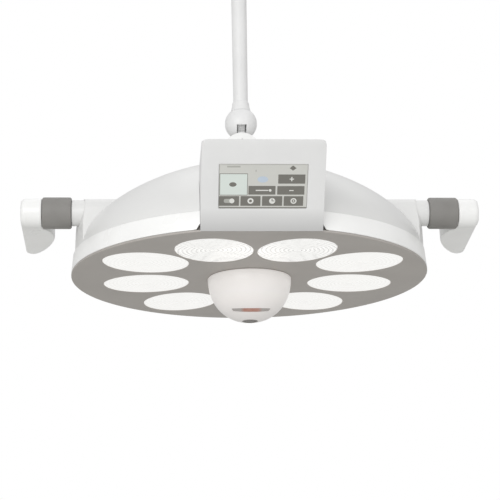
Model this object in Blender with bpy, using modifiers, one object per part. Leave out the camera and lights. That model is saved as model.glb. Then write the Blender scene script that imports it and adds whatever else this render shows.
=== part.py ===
"""Ceiling-hung dental operating light: drop tube, two-axis knuckle, lamp head, side handles, sensor dome.

Lengths are in metres, +Z is up. The origin is the centre of the mounting flange's top face, and the
control panel faces -Y. Head heights are measured up from the visible underside of the face plate.
"""

import math

import bmesh
import bpy
from mathutils import Matrix, Vector

# ---------------------------------------------------------------- driving dimensions
GAP = 0.0003                    # clearance between pieces that touch
PLATE_RADIUS = 0.245
DROP = 0.485                    # flange top face down to the face plate
HEAD_X = 0.008                  # the head's centre stands this far beside the drop tube
PLATE_THICKNESS = 0.003
PLATE_CHORD_Y = -0.234          # the plate ends straight in front of the control panel
BAND_HEIGHT = 0.0282
BAND_TOP_RADIUS = 0.2426
WALL = 0.003

# cover dome: height above the plate at radius r is SPRING + RISE * (1 - (r / radius)^P)^(1/P)
COVER_RADIUS = 0.2413
COVER_SPRING = 0.0282
COVER_RISE = 0.1298
COVER_POWER = 1.7

# lens pairs: distance from the centre and angle from the panel side, both sides alike
LENS_PAIRS = ((0.1529, 20.7), (0.1649, 59.9), (0.1458, 102.3), (0.1671, 146.2))
LENS_RADIAL = 0.0598
LENS_TANGENTIAL = 0.0505

# suspension, measured up from the plate
BALL_H = 0.2264
BALL_RADIUS = 0.0228
ROLL_H = 0.1818
CHEEK_RADIUS = 0.0245
CHEEK_INNER = 0.0140
CHEEK_OUTER = 0.0220
TUBE_TOP_RADIUS = 0.0113
TUBE_FOOT_RADIUS = 0.0103
TUBE_BORE = 0.0080
SLOT_HALF = 0.0068
TONGUE_HALF = 0.0050
TONGUE_RADIUS = 0.0135
NECK_HALF = 0.0048
PIN_RADIUS = 0.0040
PITCH_LIMIT = 45.0              # degrees either way, which the ball's slot must clear

# side handles: one axis along X
HANDLE_Y = -0.0610
HANDLE_H = 0.0757
BOSS_TOP_RADIUS = 0.0190
BOSS_FOOT_HALF = 0.0245
STUB_RADIUS = 0.0176
SHAFT_RADIUS = 0.0080
RING_RADIUS = 0.0214
RING_START = 0.2426
RING_END = 0.2818
LEVER_END = 0.3106
ELBOW_RADIUS = 0.0195
LEVER_REACH = 0.115             # from the handle axis back to the grip's tip
LEVER_BELLY = (0.0145, 0.052)   # how far the grip swells inward, and where
LEVER_DROP = 6.0                # degrees

# control panel
PANEL_HALF = 0.0764
PANEL_X = 0.0018
PANEL_LEAN = math.radians(40.0)
PANEL_TOP = (-0.3132, 0.0938)   # y and height of the face's top edge
PANEL_MOUTH_H = 0.060           # the housing is open into the head below this height
SCREEN_WIDTH = 0.1092
SCREEN_HEIGHT = 0.0590
SCREEN_FROM_TOP = 0.0326        # face top edge down to the screen

# centre dome
DOME_RADIUS = 0.0576
DOME_DEPTH = 0.0617
DOME_POWER = 2.15
DOME_WALL = 0.0025
WINDOW_DEPTH = 0.0527           # below the plate, where the sensor window sits
WINDOW_HEIGHT = 0.0066
WINDOW_SPAN = 92.0              # degrees round the dome

ROUND = 40
MEDIUM = 24
SMALL = 16


# ---------------------------------------------------------------- scene and materials
def clear_scene():
    for item in list(bpy.data.objects):
        bpy.data.objects.remove(item, do_unlink=True)


def collection(name):
    made = bpy.data.collections.new(name)
    bpy.context.scene.collection.children.link(made)
    return made


def material(name, colour, roughness, metallic=0.0):
    made = bpy.data.materials.new(name)
    made.use_nodes = True
    shader = made.node_tree.nodes["Principled BSDF"]
    shader.inputs["Base Color"].default_value = (*colour, 1.0)
    shader.inputs["Roughness"].default_value = roughness
    shader.inputs["Metallic"].default_value = metallic
    return made


clear_scene()
PARTS = collection("dental_operating_light")
CUTTERS = collection("cutters")

WHITE = material("white_housing", (0.82, 0.82, 0.81), 0.35)
BAND_WHITE = material("band_white", (0.90, 0.90, 0.89), 0.30)
TAUPE = material("taupe_plate", (0.31, 0.29, 0.27), 0.45)
GREY = material("grey_rubber", (0.22, 0.215, 0.21), 0.60)
LENS = material("lens_glow", (0.93, 0.93, 0.92), 0.10)
PANEL_GREY = material("panel_grey", (0.74, 0.74, 0.73), 0.40)
SCREEN = material("screen_glass", (0.45, 0.45, 0.43), 0.15)
DOME_WHITE = material("dome_white", (0.85, 0.82, 0.79), 0.35)
WINDOW_RED = material("window_red", (0.34, 0.20, 0.17), 0.20)
DARK = material("dark_lens", (0.08, 0.08, 0.08), 0.15)
STEEL = material("steel", (0.60, 0.60, 0.60), 0.30, 1.0)
ALUMINIUM = material("aluminium", (0.72, 0.72, 0.73), 0.40, 1.0)
BOARD = material("circuit_board", (0.05, 0.22, 0.10), 0.50)
BLACK = material("black_plastic", (0.03, 0.03, 0.03), 0.50)
ACETAL = material("acetal", (0.80, 0.80, 0.79), 0.40)


def empty(name, location, parent=None):
    made = bpy.data.objects.new(name, None)
    PARTS.objects.link(made)
    made.parent = parent
    made.location = location
    return made


SWIVEL = empty("swivel_axis", (0, 0, 0))
PITCH = empty("pitch_axis", (0, 0, BALL_H - DROP), SWIVEL)
ROLL = empty("roll_axis", (0, 0, ROLL_H - BALL_H), PITCH)
HEAD = empty("head_centre", (HEAD_X, 0, -ROLL_H), ROLL)


# ---------------------------------------------------------------- shape helpers
def add(name, mesh, surface, parent=None, location=(0, 0, 0), rotation=(0, 0, 0), group=PARTS):
    made = bpy.data.objects.new(name, mesh)
    group.objects.link(made)
    made.parent = parent
    made.location = location
    made.rotation_euler = rotation
    if surface:
        mesh.materials.append(surface)
    if group is CUTTERS:
        made.hide_render = True
        made.display_type = "WIRE"
    return made


def smooth(item, angle=32.0):
    item.data.shade_smooth()
    item.data.set_sharp_from_angle(angle=math.radians(angle))
    return item


def bevel(item, width, segments=2, angle=40.0):
    rounding = item.modifiers.new("edges", "BEVEL")
    rounding.width = width
    rounding.segments = segments
    rounding.limit_method = "ANGLE"
    rounding.angle_limit = math.radians(angle)
    rounding.use_clamp_overlap = True
    return item


def turned(name, profile, surface, steps=MEDIUM, degrees=360.0, closed=False, **place):
    """A profile of (radius, z) points turned about Z. It runs down the outer side, then back up inside."""
    mesh = bpy.data.meshes.new(name)
    points = [(radius, 0.0, z) for radius, z in profile]
    edges = [(i, i + 1) for i in range(len(points) - 1)]
    if closed:
        edges.append((len(points) - 1, 0))
    mesh.from_pydata(points, edges, [])
    made = add(name, mesh, surface, **place)
    screw = made.modifiers.new("turn", "SCREW")
    screw.angle = math.radians(degrees)
    screw.steps = steps
    screw.render_steps = steps
    screw.use_merge_vertices = True
    screw.merge_threshold = 0.00001
    screw.use_smooth_shade = True
    return made


def ring(name, outer, inner, low, high, surface, steps=MEDIUM, **place):
    profile = [(outer, high), (outer, low), (inner, low), (inner, high)]
    return turned(name, profile, surface, steps, closed=True, **place)


def rod(name, radius, low, high, surface, steps=SMALL, **place):
    profile = [(0.0, high), (radius, high), (radius, low), (0.0, low)]
    return turned(name, profile, surface, steps, **place)


def block(name, size, surface, rounding=0.0, **place):
    mesh = bpy.data.meshes.new(name)
    shape = bmesh.new()
    bmesh.ops.create_cube(shape, size=1.0)
    bmesh.ops.scale(shape, vec=size, verts=shape.verts)
    shape.to_mesh(mesh)
    shape.free()
    made = add(name, mesh, surface, **place)
    if rounding:
        bevel(made, rounding)
    return made


def slab(name, outlines, low, high, surface, rounding=0.0, **place):
    """A flat plate: closed outlines in X and Y, holes among them, extruded from low to high."""
    curve = bpy.data.curves.new(name, "CURVE")
    curve.dimensions = "2D"
    curve.fill_mode = "BOTH"
    curve.extrude = (high - low) / 2
    for outline in outlines:
        spline = curve.splines.new("POLY")
        spline.points.add(len(outline) - 1)
        for point, (x, y) in zip(spline.points, outline):
            point.co = (x, y, 0.0, 1.0)
        spline.use_cyclic_u = True
    drawn = bpy.data.objects.new(name + "_outline", curve)
    PARTS.objects.link(drawn)
    bpy.context.view_layer.update()
    graph = bpy.context.evaluated_depsgraph_get()
    mesh = bpy.data.meshes.new_from_object(drawn.evaluated_get(graph))
    bpy.data.objects.remove(drawn, do_unlink=True)
    bpy.data.curves.remove(curve)
    shape = bmesh.new()
    shape.from_mesh(mesh)
    bmesh.ops.remove_doubles(shape, verts=shape.verts, dist=0.00001)
    bmesh.ops.translate(shape, vec=(0, 0, (low + high) / 2), verts=shape.verts)
    bmesh.ops.recalc_face_normals(shape, faces=shape.faces)
    shape.to_mesh(mesh)
    shape.free()
    mesh.name = name
    mesh.materials.clear()
    made = add(name, mesh, surface, **place)
    if rounding:
        bevel(made, rounding)
    return made


def cut(item, cutter, operation="DIFFERENCE"):
    boolean = item.modifiers.new(operation.lower(), "BOOLEAN")
    boolean.operation = operation
    boolean.object = cutter
    return item


def circle_points(radius, count, centre=(0.0, 0.0)):
    turns = [2 * math.pi * i / count for i in range(count)]
    return [(centre[0] + radius * math.cos(t), centre[1] + radius * math.sin(t)) for t in turns]


def along_x(side=1):
    """Rotation that lays a turned piece's +Z along +X, or along -X for side -1."""
    return (0.0, side * math.pi / 2, 0.0)


ALONG_Y = (-math.pi / 2, 0.0, 0.0)


# ---------------------------------------------------------------- ceiling mount
FLANGE_RADIUS = 0.045
FLANGE_THICKNESS = 0.006
BOLT_CIRCLE = 0.035
HOUSING_RADIUS = 0.027
HOUSING_FLOOR = -0.026
BEARING_RADIUS = 0.0200
BEARING_TOP = -0.0170
TUBE_TOP = -0.0080
CANOPY_RADIUS = 0.0485
CANOPY_FLOOR = -0.033
SCREW_CIRCLE = 0.0235


def flange_outlines():
    holes = [circle_points(0.0033, 12, (BOLT_CIRCLE * math.cos(a), BOLT_CIRCLE * math.sin(a)))
             for a in (math.radians(45 + 90 * k) for k in range(4))]
    cable_hole = circle_points(0.005, 12, (0.0, 0.034))
    return [circle_points(FLANGE_RADIUS, ROUND), *holes, cable_hole]


def make_mount():
    flange = slab("ceiling_flange", flange_outlines(), -FLANGE_THICKNESS, 0.0, ALUMINIUM)
    top = -FLANGE_THICKNESS - GAP
    housing = turned("swivel_housing", [
        (HOUSING_RADIUS, top), (HOUSING_RADIUS, HOUSING_FLOOR), (0.0125, HOUSING_FLOOR),
        (0.0125, HOUSING_FLOOR + 0.0035), (BEARING_RADIUS, HOUSING_FLOOR + 0.0035), (BEARING_RADIUS, top),
    ], ALUMINIUM, MEDIUM, closed=True)
    ring("swivel_bearing", BEARING_RADIUS - GAP, 0.0118, HOUSING_FLOOR + 0.0038, BEARING_TOP, STEEL)
    turned("canopy", [
        (CANOPY_RADIUS, -0.001), (CANOPY_RADIUS, CANOPY_FLOOR + 0.004),
        (CANOPY_RADIUS - 0.004, CANOPY_FLOOR), (0.0130, CANOPY_FLOOR),
        (0.0130, CANOPY_FLOOR + 0.002), (CANOPY_RADIUS - 0.005, CANOPY_FLOOR + 0.002),
        (CANOPY_RADIUS - 0.002, CANOPY_FLOOR + 0.005), (CANOPY_RADIUS - 0.002, -0.001),
    ], WHITE, ROUND, closed=True)
    block("terminal_block", (0.016, 0.009, 0.009), BLACK, location=(0.0, 0.0345, top - 0.0047))
    for k in range(3):
        angle = math.radians(30 + 120 * k)
        place = (SCREW_CIRCLE * math.cos(angle), SCREW_CIRCLE * math.sin(angle), 0.0)
        hole = rod(f"flange_screw_hole_{k + 1}", 0.0020 + GAP, -0.0400, -0.0020, None, 10,
                   group=CUTTERS, location=place)
        cut(housing, hole)
        cut(flange, hole)
        turned(f"flange_screw_{k + 1}", [
            (0.0, -0.0025), (0.0020, -0.0025), (0.0020, HOUSING_FLOOR - GAP),
            (0.0036, HOUSING_FLOOR - GAP), (0.0036, HOUSING_FLOOR - 0.0030), (0.0, HOUSING_FLOOR - 0.0030),
        ], STEEL, 10, location=place)


# ---------------------------------------------------------------- drop tube and knuckle ball
BALL_Z = BALL_H - DROP
BALL_CUT = 0.0175               # the ball is flat above this height over its centre


def tube_radius(z):
    share = (TUBE_TOP - z) / (TUBE_TOP - BALL_Z)
    return TUBE_TOP_RADIUS + (TUBE_FOOT_RADIUS - TUBE_TOP_RADIUS) * share


def make_drop():
    floor = BALL_Z + BALL_CUT + GAP
    tube_foot = floor + 0.0025
    turned("drop_tube", [
        (TUBE_TOP_RADIUS, TUBE_TOP), (tube_radius(tube_foot), tube_foot),
        (TUBE_BORE, tube_foot), (TUBE_BORE, TUBE_TOP),
    ], WHITE, MEDIUM, closed=True, parent=SWIVEL)
    ring("tube_nut", 0.0165, TUBE_TOP_RADIUS + GAP, BEARING_TOP + GAP, BEARING_TOP + 0.0055, STEEL, MEDIUM,
         parent=SWIVEL)
    bore = TUBE_FOOT_RADIUS + 0.0004
    turned("knuckle_collar", [
        (bore + 0.0008, floor + 0.0140), (bore + 0.0014, floor + 0.0125), (0.0124, floor + 0.0070),
        (0.0140, floor + 0.0015), (0.0140, floor), (0.0045, floor), (0.0045, floor + 0.0020),
        (bore, floor + 0.0020), (bore, floor + 0.0140),
    ], WHITE, MEDIUM, closed=True, parent=SWIVEL)
    rod("supply_cable", 0.0035, tube_foot, TUBE_TOP + 0.0010, BLACK, 12, parent=SWIVEL)


def ball_profile():
    start = math.acos(BALL_CUT / BALL_RADIUS)
    arc = [start + (math.pi - start) * i / 12 for i in range(13)]
    outer = [(BALL_RADIUS * math.sin(a), BALL_RADIUS * math.cos(a)) for a in arc]
    outer[-1] = (0.0, -BALL_RADIUS)
    return [(0.0, BALL_CUT), *outer]


def sector_points(radius, half_angle, hub):
    """Outline in (y, z) of a hub circle joined to a sector that opens downward."""
    swing = [-half_angle + 2 * half_angle * i / 16 for i in range(17)]
    arc = [(radius * math.sin(a), -radius * math.cos(a)) for a in swing]
    rest = [half_angle + (2 * math.pi - 2 * half_angle) * i / 16 for i in range(1, 16)]
    return arc + [(hub * math.sin(a), -hub * math.cos(a)) for a in rest]


def make_knuckle():
    ball = turned("knuckle_ball", ball_profile(), WHITE, MEDIUM, parent=SWIVEL, location=(0, 0, BALL_Z))
    reach = math.radians(PITCH_LIMIT + 22.0)
    swept = sector_points(0.030, reach, TONGUE_RADIUS + 0.0007)
    slot = slab("ball_slot", [swept], -SLOT_HALF, SLOT_HALF, None,
                group=CUTTERS, parent=SWIVEL, location=(0, 0, BALL_Z),
                rotation=(math.pi / 2, 0.0, math.pi / 2))
    pin_hole = rod("pitch_pin_hole", PIN_RADIUS + GAP, -0.03, 0.03, None, SMALL,
                   group=CUTTERS, parent=PITCH, rotation=along_x())
    cut(ball, slot)
    cut(ball, pin_hole)
    rod("pitch_pin", PIN_RADIUS, -0.0208, 0.0208, STEEL, parent=SWIVEL, location=(0, 0, BALL_Z),
        rotation=along_x())
    for side, word in ((-1, "left"), (1, "right")):
        low, high = sorted((side * (TONGUE_HALF + GAP), side * (SLOT_HALF - GAP)))
        ring(f"pitch_washer_{word}", 0.0090, PIN_RADIUS + GAP, low, high, ACETAL, SMALL,
             parent=PITCH, rotation=along_x())
    make_link(pin_hole)


def make_link(pin_hole):
    drop = BALL_H - ROLL_H
    neck = math.acos(NECK_HALF / TONGUE_RADIUS)
    turns = [-neck + (math.pi + 2 * neck) * i / 20 for i in range(21)]
    head = [(TONGUE_RADIUS * math.cos(a), TONGUE_RADIUS * math.sin(a)) for a in turns]
    outline = [*head, (-NECK_HALF, -drop), (NECK_HALF, -drop)]
    link = slab("knuckle_link", [outline], -TONGUE_HALF, TONGUE_HALF, STEEL, parent=PITCH,
                rotation=(math.pi / 2, 0.0, math.pi / 2))
    barrel = rod("link_barrel", 0.0110, -CHEEK_INNER + GAP, CHEEK_INNER - GAP, None, 32,
                 group=CUTTERS, parent=ROLL, rotation=ALONG_Y)
    bore = rod("roll_pin_hole", PIN_RADIUS + GAP, -0.04, 0.04, None, SMALL,
               group=CUTTERS, parent=ROLL, rotation=ALONG_Y)
    cut(link, barrel, "UNION")
    cut(link, bore)
    cut(link, pin_hole)
    make_yoke(bore)


# ---------------------------------------------------------------- yoke and its post
COVER_TOP = COVER_SPRING + COVER_RISE
BASE_LOW = COVER_TOP + 0.0012
BASE_HIGH = BASE_LOW + 0.0075
FOOT_LOW = 0.1320
CHASSIS_LOW = 0.0400
CHASSIS_HIGH = 0.0430


def make_yoke(bore):
    def lift(height):
        return height - ROLL_H
    yoke = turned("yoke", [
        (0.0, lift(BASE_HIGH)), (0.0350, lift(BASE_HIGH)), (0.0375, lift(BASE_HIGH - 0.0020)),
        (0.0380, lift(BASE_LOW)), (0.0250, lift(BASE_LOW)), (0.0250, lift(FOOT_LOW)), (0.0, lift(FOOT_LOW)),
    ], WHITE, MEDIUM, parent=ROLL)
    top = [(CHEEK_RADIUS * math.cos(a), CHEEK_RADIUS * math.sin(a))
           for a in (math.pi * i / 16 for i in range(17))]
    foot = BASE_HIGH - 0.0010 - ROLL_H
    for side in (-1, 1):
        low, high = sorted((-side * CHEEK_INNER, -side * CHEEK_OUTER))
        cheek = slab(f"yoke_cheek_{'front' if side < 0 else 'back'}",
                     [top + [(-CHEEK_RADIUS, foot), (CHEEK_RADIUS, foot)]], low, high, None,
                     group=CUTTERS, parent=ROLL, rotation=(math.pi / 2, 0.0, 0.0))
        cut(yoke, cheek, "UNION")
    cut(yoke, bore)
    rod("roll_pin", PIN_RADIUS, -CHEEK_OUTER + 0.0005, CHEEK_OUTER - 0.0005, STEEL,
        parent=ROLL, rotation=ALONG_Y)
    screw_height = 0.0127
    hole = rod("yoke_screw_hole", 0.0022, -0.0228, -0.0195, None, 16,
               group=CUTTERS, parent=ROLL, location=(0, 0, screw_height), rotation=ALONG_Y)
    cut(yoke, hole)
    rod("yoke_screw", 0.0019, -0.0226, -0.0198, BLACK, 16,
        parent=ROLL, location=(0, 0, screw_height), rotation=ALONG_Y)
    post_top = FOOT_LOW - GAP
    turned("hub_plate", [
        (0.0, post_top), (0.0240, post_top), (0.0240, post_top - 0.0050), (0.0170, post_top - 0.0080),
        (0.0170, CHASSIS_HIGH + 0.0080), (0.0300, CHASSIS_HIGH + 0.0050), (0.0300, CHASSIS_HIGH + GAP),
        (0.0, CHASSIS_HIGH + GAP),
    ], ALUMINIUM, MEDIUM, parent=HEAD, location=(-HEAD_X, 0, 0))


# ---------------------------------------------------------------- head skin
def dome_profile(outer_radius, rise, floor, count=11):
    """Points down the dome from its apex to its rim, which stands on the floor height."""
    shares = [math.sin(math.pi / 2 * i / count) for i in range(count + 1)]
    return [(outer_radius * share,
             max(floor, COVER_SPRING + rise * (1.0 - share ** COVER_POWER) ** (1.0 / COVER_POWER)))
            for share in shares]


COVER_FLOOR = BAND_HEIGHT + GAP


def boss_outline(inset):
    """Cross-section of a side fairing in (y, height): a round top on flared sides."""
    radius = BOSS_TOP_RADIUS - inset
    half = BOSS_FOOT_HALF - inset
    floor = COVER_FLOOR - HANDLE_H - (0.001 if inset else 0.0)
    turns = [math.pi * i / 12 for i in range(13)]
    top = [(radius * math.cos(t), radius * math.sin(t)) for t in turns]
    return top + [(-half, floor), (half, floor)]


def boss_limit(name, inset):
    """The turned outer face of the fairings, leaning in towards the top."""
    return turned(name, [
        (0.0, 0.1100), (0.2300 - inset, 0.1100), (0.2347 - inset, 0.0955), (0.2382 - inset, 0.0760),
        (0.2408 - inset, 0.0576), (COVER_RADIUS - inset, COVER_FLOOR - 0.0010 * bool(inset)),
        (0.0, COVER_FLOOR - 0.0010 * bool(inset)),
    ], None, ROUND, group=CUTTERS, parent=HEAD)


def side_boss(name, side, inset, start):
    """One fairing as a cutter: the outline run outward along X, then trimmed by the turned face."""
    reach = sorted((side * start, side * 0.2600))
    prism = slab(name, [boss_outline(inset)], reach[0], reach[1], None, group=CUTTERS, parent=HEAD,
                 location=(0, HANDLE_Y, HANDLE_H), rotation=(math.pi / 2, 0.0, math.pi / 2))
    return cut(prism, boss_limit(name + "_limit", inset), "INTERSECT")


def make_cover():
    outer = dome_profile(COVER_RADIUS, COVER_RISE, COVER_FLOOR)
    cover = turned("cover", [(0.0, outer[0][1]), *outer[1:], (0.0, COVER_FLOOR)], WHITE, ROUND, parent=HEAD)
    for side, word in ((-1, "left"), (1, "right")):
        cut(cover, side_boss(f"boss_{word}", side, 0.0, 0.1200), "UNION")
    inner = dome_profile(COVER_RADIUS - WALL, COVER_RISE - WALL, COVER_FLOOR - 0.001)
    cavity = turned("cover_cavity", [(0.0, inner[0][1]), *inner[1:], (0.0, COVER_FLOOR - 0.001)], None,
                    ROUND, group=CUTTERS, parent=HEAD)
    cut(cover, cavity)
    for side, word in ((-1, "left"), (1, "right")):
        cut(cover, side_boss(f"boss_hollow_{word}", side, WALL, 0.1500))
        hole = rod(f"spigot_hole_{word}", STUB_RADIUS + GAP, 0.15, 0.26, None, 20, group=CUTTERS,
                   parent=HEAD, location=(0, HANDLE_Y, HANDLE_H), rotation=along_x(side))
        cut(cover, hole)
    notch = block("cover_notch", (2 * PANEL_HALF + 0.0006, 0.0600, 0.2), None, group=CUTTERS, parent=HEAD,
                  location=(PANEL_X, PANEL_BACK_Y + GAP - 0.03, 0.1))
    cut(cover, notch)
    hub_hole = rod("hub_hole", 0.0250 + GAP, 0.10, 0.20, None, MEDIUM, group=CUTTERS, parent=HEAD,
                   location=(-HEAD_X, 0, 0))
    cut(cover, hub_hole)


def make_band():
    low = PLATE_THICKNESS + GAP
    band = turned("rim_band", [
        (BAND_TOP_RADIUS, BAND_HEIGHT), (PLATE_RADIUS, low + 0.0010), (PLATE_RADIUS - 0.0006, low),
        (PLATE_RADIUS - 0.0036, low), (BAND_TOP_RADIUS - WALL, BAND_HEIGHT),
    ], BAND_WHITE, 64, closed=True, parent=HEAD)
    gap_cutter = block("band_gap", (2 * PANEL_HALF + 0.0006, 0.1, 0.1), None, group=CUTTERS, parent=HEAD,
                       location=(PANEL_X, -0.25, 0.02))
    cut(band, gap_cutter)
    gasket = ring("rim_gasket", 0.2385, 0.2350, low, 0.0160, TAUPE, ROUND, parent=HEAD)
    gasket_cutter = block("gasket_gap", (2 * PANEL_HALF + 0.0006, 0.1, 0.1), None, group=CUTTERS,
                          parent=HEAD, location=(PANEL_X, -0.25, 0.02))
    cut(gasket, gasket_cutter)


# ---------------------------------------------------------------- face plate, lenses, light engines
def lens_places():
    """Centre and outward direction of each lens, left and right of each pair in turn."""
    for distance, angle in LENS_PAIRS:
        for side in (-1, 1):
            turn = math.radians(angle)
            outward = Vector((side * math.sin(turn), -math.cos(turn)))
            yield outward * distance, outward


def oval(centre, outward, radial, tangential, count=24):
    across = Vector((-outward.y, outward.x))
    turns = [2 * math.pi * i / count for i in range(count)]
    points = [centre + outward * radial * math.cos(t) + across * tangential * math.sin(t) for t in turns]
    return [(p.x, p.y) for p in points]


def plate_outline():
    edge = math.asin(PLATE_CHORD_Y / PLATE_RADIUS)
    count = 60
    turns = [edge + (math.pi - 2 * edge) * i / count for i in range(count + 1)]
    return [(PLATE_RADIUS * math.cos(t), PLATE_RADIUS * math.sin(t)) for t in turns]


def make_face():
    openings = [oval(centre, outward, LENS_RADIAL, LENS_TANGENTIAL) for centre, outward in lens_places()]
    hub = circle_points(0.0480, MEDIUM)
    slab("face_plate", [plate_outline(), *openings, hub], 0.0, PLATE_THICKNESS, TAUPE, parent=HEAD)
    for number, (centre, outward) in enumerate(lens_places(), 1):
        outline = oval(centre, outward, LENS_RADIAL - GAP, LENS_TANGENTIAL - GAP)
        slab(f"lens_{number}", [outline], 0.0006, 0.0056, LENS, parent=HEAD)
        make_module(number, centre)


def make_module(number, centre):
    """A cup reflector with its emitter seat, between a lens and the chassis."""
    low = 0.0060
    high = CHASSIS_LOW - GAP
    turned(f"led_module_{number}", [
        (0.0, high), (0.0200, high), (0.0220, high - 0.0060), (0.0440, low + 0.0060), (0.0460, low),
        (0.0440, low), (0.0200, high - 0.0090), (0.0, high - 0.0090),
    ], ALUMINIUM, 16, parent=HEAD, location=(centre.x, centre.y, 0))


def make_chassis():
    """A carrier disc cut straight behind the panel, with a hole for the sensor core."""
    radius = 0.2180
    chord = -0.1930
    edge = math.asin(chord / radius)
    turns = [edge + (math.pi - 2 * edge) * i / 40 for i in range(41)]
    outline = [(radius * math.cos(t), radius * math.sin(t)) for t in turns]
    slab("chassis", [outline], CHASSIS_LOW, CHASSIS_HIGH, ALUMINIUM, parent=HEAD)
    board_height = CHASSIS_HIGH + GAP + 0.0010
    block("driver_board", (0.110, 0.070, 0.002), BOARD, parent=HEAD, location=(0.0, 0.115, board_height))


# ---------------------------------------------------------------- control panel
FACE_DOWN = (math.sin(PANEL_LEAN), -math.cos(PANEL_LEAN))      # down the face, in (y, height)
FACE_OUT = (-math.cos(PANEL_LEAN), -math.sin(PANEL_LEAN))      # out of the face, in (y, height)
PANEL_BACK_Y = -0.2000
PANEL_FOOT = (-0.2348, 0.0004)
FOOT_BEND_H = 0.0120                                           # where the face starts to curve under


def face_point(down, inward=0.0):
    y = PANEL_TOP[0] + FACE_DOWN[0] * down - FACE_OUT[0] * inward
    height = PANEL_TOP[1] + FACE_DOWN[1] * down - FACE_OUT[1] * inward
    return (y, height)


def curve_under(start, corner, end, count=6):
    """Points of a smooth bend from start to end that leaves both along their lines to corner."""
    points = []
    for i in range(count + 1):
        t = i / count
        mix = ((1 - t) ** 2, 2 * t * (1 - t), t * t)
        points.append(tuple(sum(m * p[k] for m, p in zip(mix, (start, corner, end))) for k in (0, 1)))
    return points


def panel_section(inset):
    """Side outline of the panel housing in (y, height), or of its hollow for a wall thickness inset."""
    bend = (PANEL_TOP[1] - FOOT_BEND_H) / math.cos(PANEL_LEAN)
    foot = (PANEL_FOOT[0] + inset * 0.2, PANEL_FOOT[1] + inset)
    start = face_point(bend, inset)
    corner = face_point(bend + 0.0125, inset)
    top_front = face_point(inset * 2.05, inset)
    top_back = (-0.2990, 0.0950 - inset)
    back = PANEL_BACK_Y - inset
    floor = PLATE_THICKNESS + GAP + inset
    low_back = [(back, floor + 0.0040)]
    if inset:
        mouth = PANEL_BACK_Y + 0.010
        low_back = [(mouth, floor + 0.0040), (mouth, PANEL_MOUTH_H), (back, PANEL_MOUTH_H)]
    return [top_front, *curve_under(start, corner, foot), (foot[0] + GAP, floor), *low_back,
            (back, 0.0940 - inset), top_back]


def make_panel():
    housing = slab("panel_housing", [panel_section(0.0)], -PANEL_HALF, PANEL_HALF, PANEL_GREY,
                   rounding=0.0040, parent=HEAD, location=(PANEL_X, 0, 0),
                   rotation=(math.pi / 2, 0.0, math.pi / 2))
    hollow = slab("panel_hollow", [panel_section(WALL)], -PANEL_HALF + WALL, PANEL_HALF - WALL, None,
                  group=CUTTERS, parent=HEAD, location=(PANEL_X, 0, 0),
                  rotation=(math.pi / 2, 0.0, math.pi / 2))
    cut(housing, hollow)
    middle = face_point(SCREEN_FROM_TOP + SCREEN_HEIGHT / 2)
    tilt = (PANEL_LEAN - math.pi / 2, 0.0, 0.0)

    def panel_block(name, size, depth, surface, **place):
        centre = (middle[0] - FACE_OUT[0] * depth, middle[1] - FACE_OUT[1] * depth)
        return block(name, size, surface, parent=HEAD, location=(PANEL_X, *centre),
                     rotation=tilt, **place)

    window = panel_block("screen_window", (SCREEN_WIDTH, SCREEN_HEIGHT, 0.0200), 0.0, None, group=CUTTERS)
    cut(housing, window)
    inner = (SCREEN_WIDTH - 2 * GAP, SCREEN_HEIGHT - 2 * GAP)
    panel_block("touch_glass", (*inner, 0.0016), 0.0018, SCREEN)
    panel_block("display_module", (inner[0] - 0.0004, inner[1] - 0.0004, 0.0040), 0.0050, BLACK)
    panel_block("control_board", (0.0900, 0.0500, 0.0016), 0.0100, BOARD)


# ---------------------------------------------------------------- side handles
def lever_outline():
    """Plan of the grip: X outward from the elbow's inner face, Y back from the handle axis."""
    width = LEVER_END - RING_END - GAP
    corner_radius = 0.010
    belly, waist = LEVER_BELLY
    shoulder = RING_RADIUS + 0.0010
    quarter = [math.pi / 2 * i / 8 for i in range(9)]
    inner = [(-belly * math.sin(a) ** 1.25, shoulder + (waist - shoulder) * (1 - math.cos(a) ** 1.25))
             for a in quarter]
    tip = [(-belly + (belly + width - corner_radius) * (1 - math.cos(a) ** 1.35),
            waist + (LEVER_REACH - waist) * math.sin(a) ** 1.35) for a in quarter[1:]]
    corner = [(width - corner_radius * (1 - math.sin(a)), LEVER_REACH - corner_radius * (1 - math.cos(a)))
              for a in quarter[2::2]]
    return [(0.0, -0.0100), *inner, *tip, *corner, (width, -0.0100)]


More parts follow.
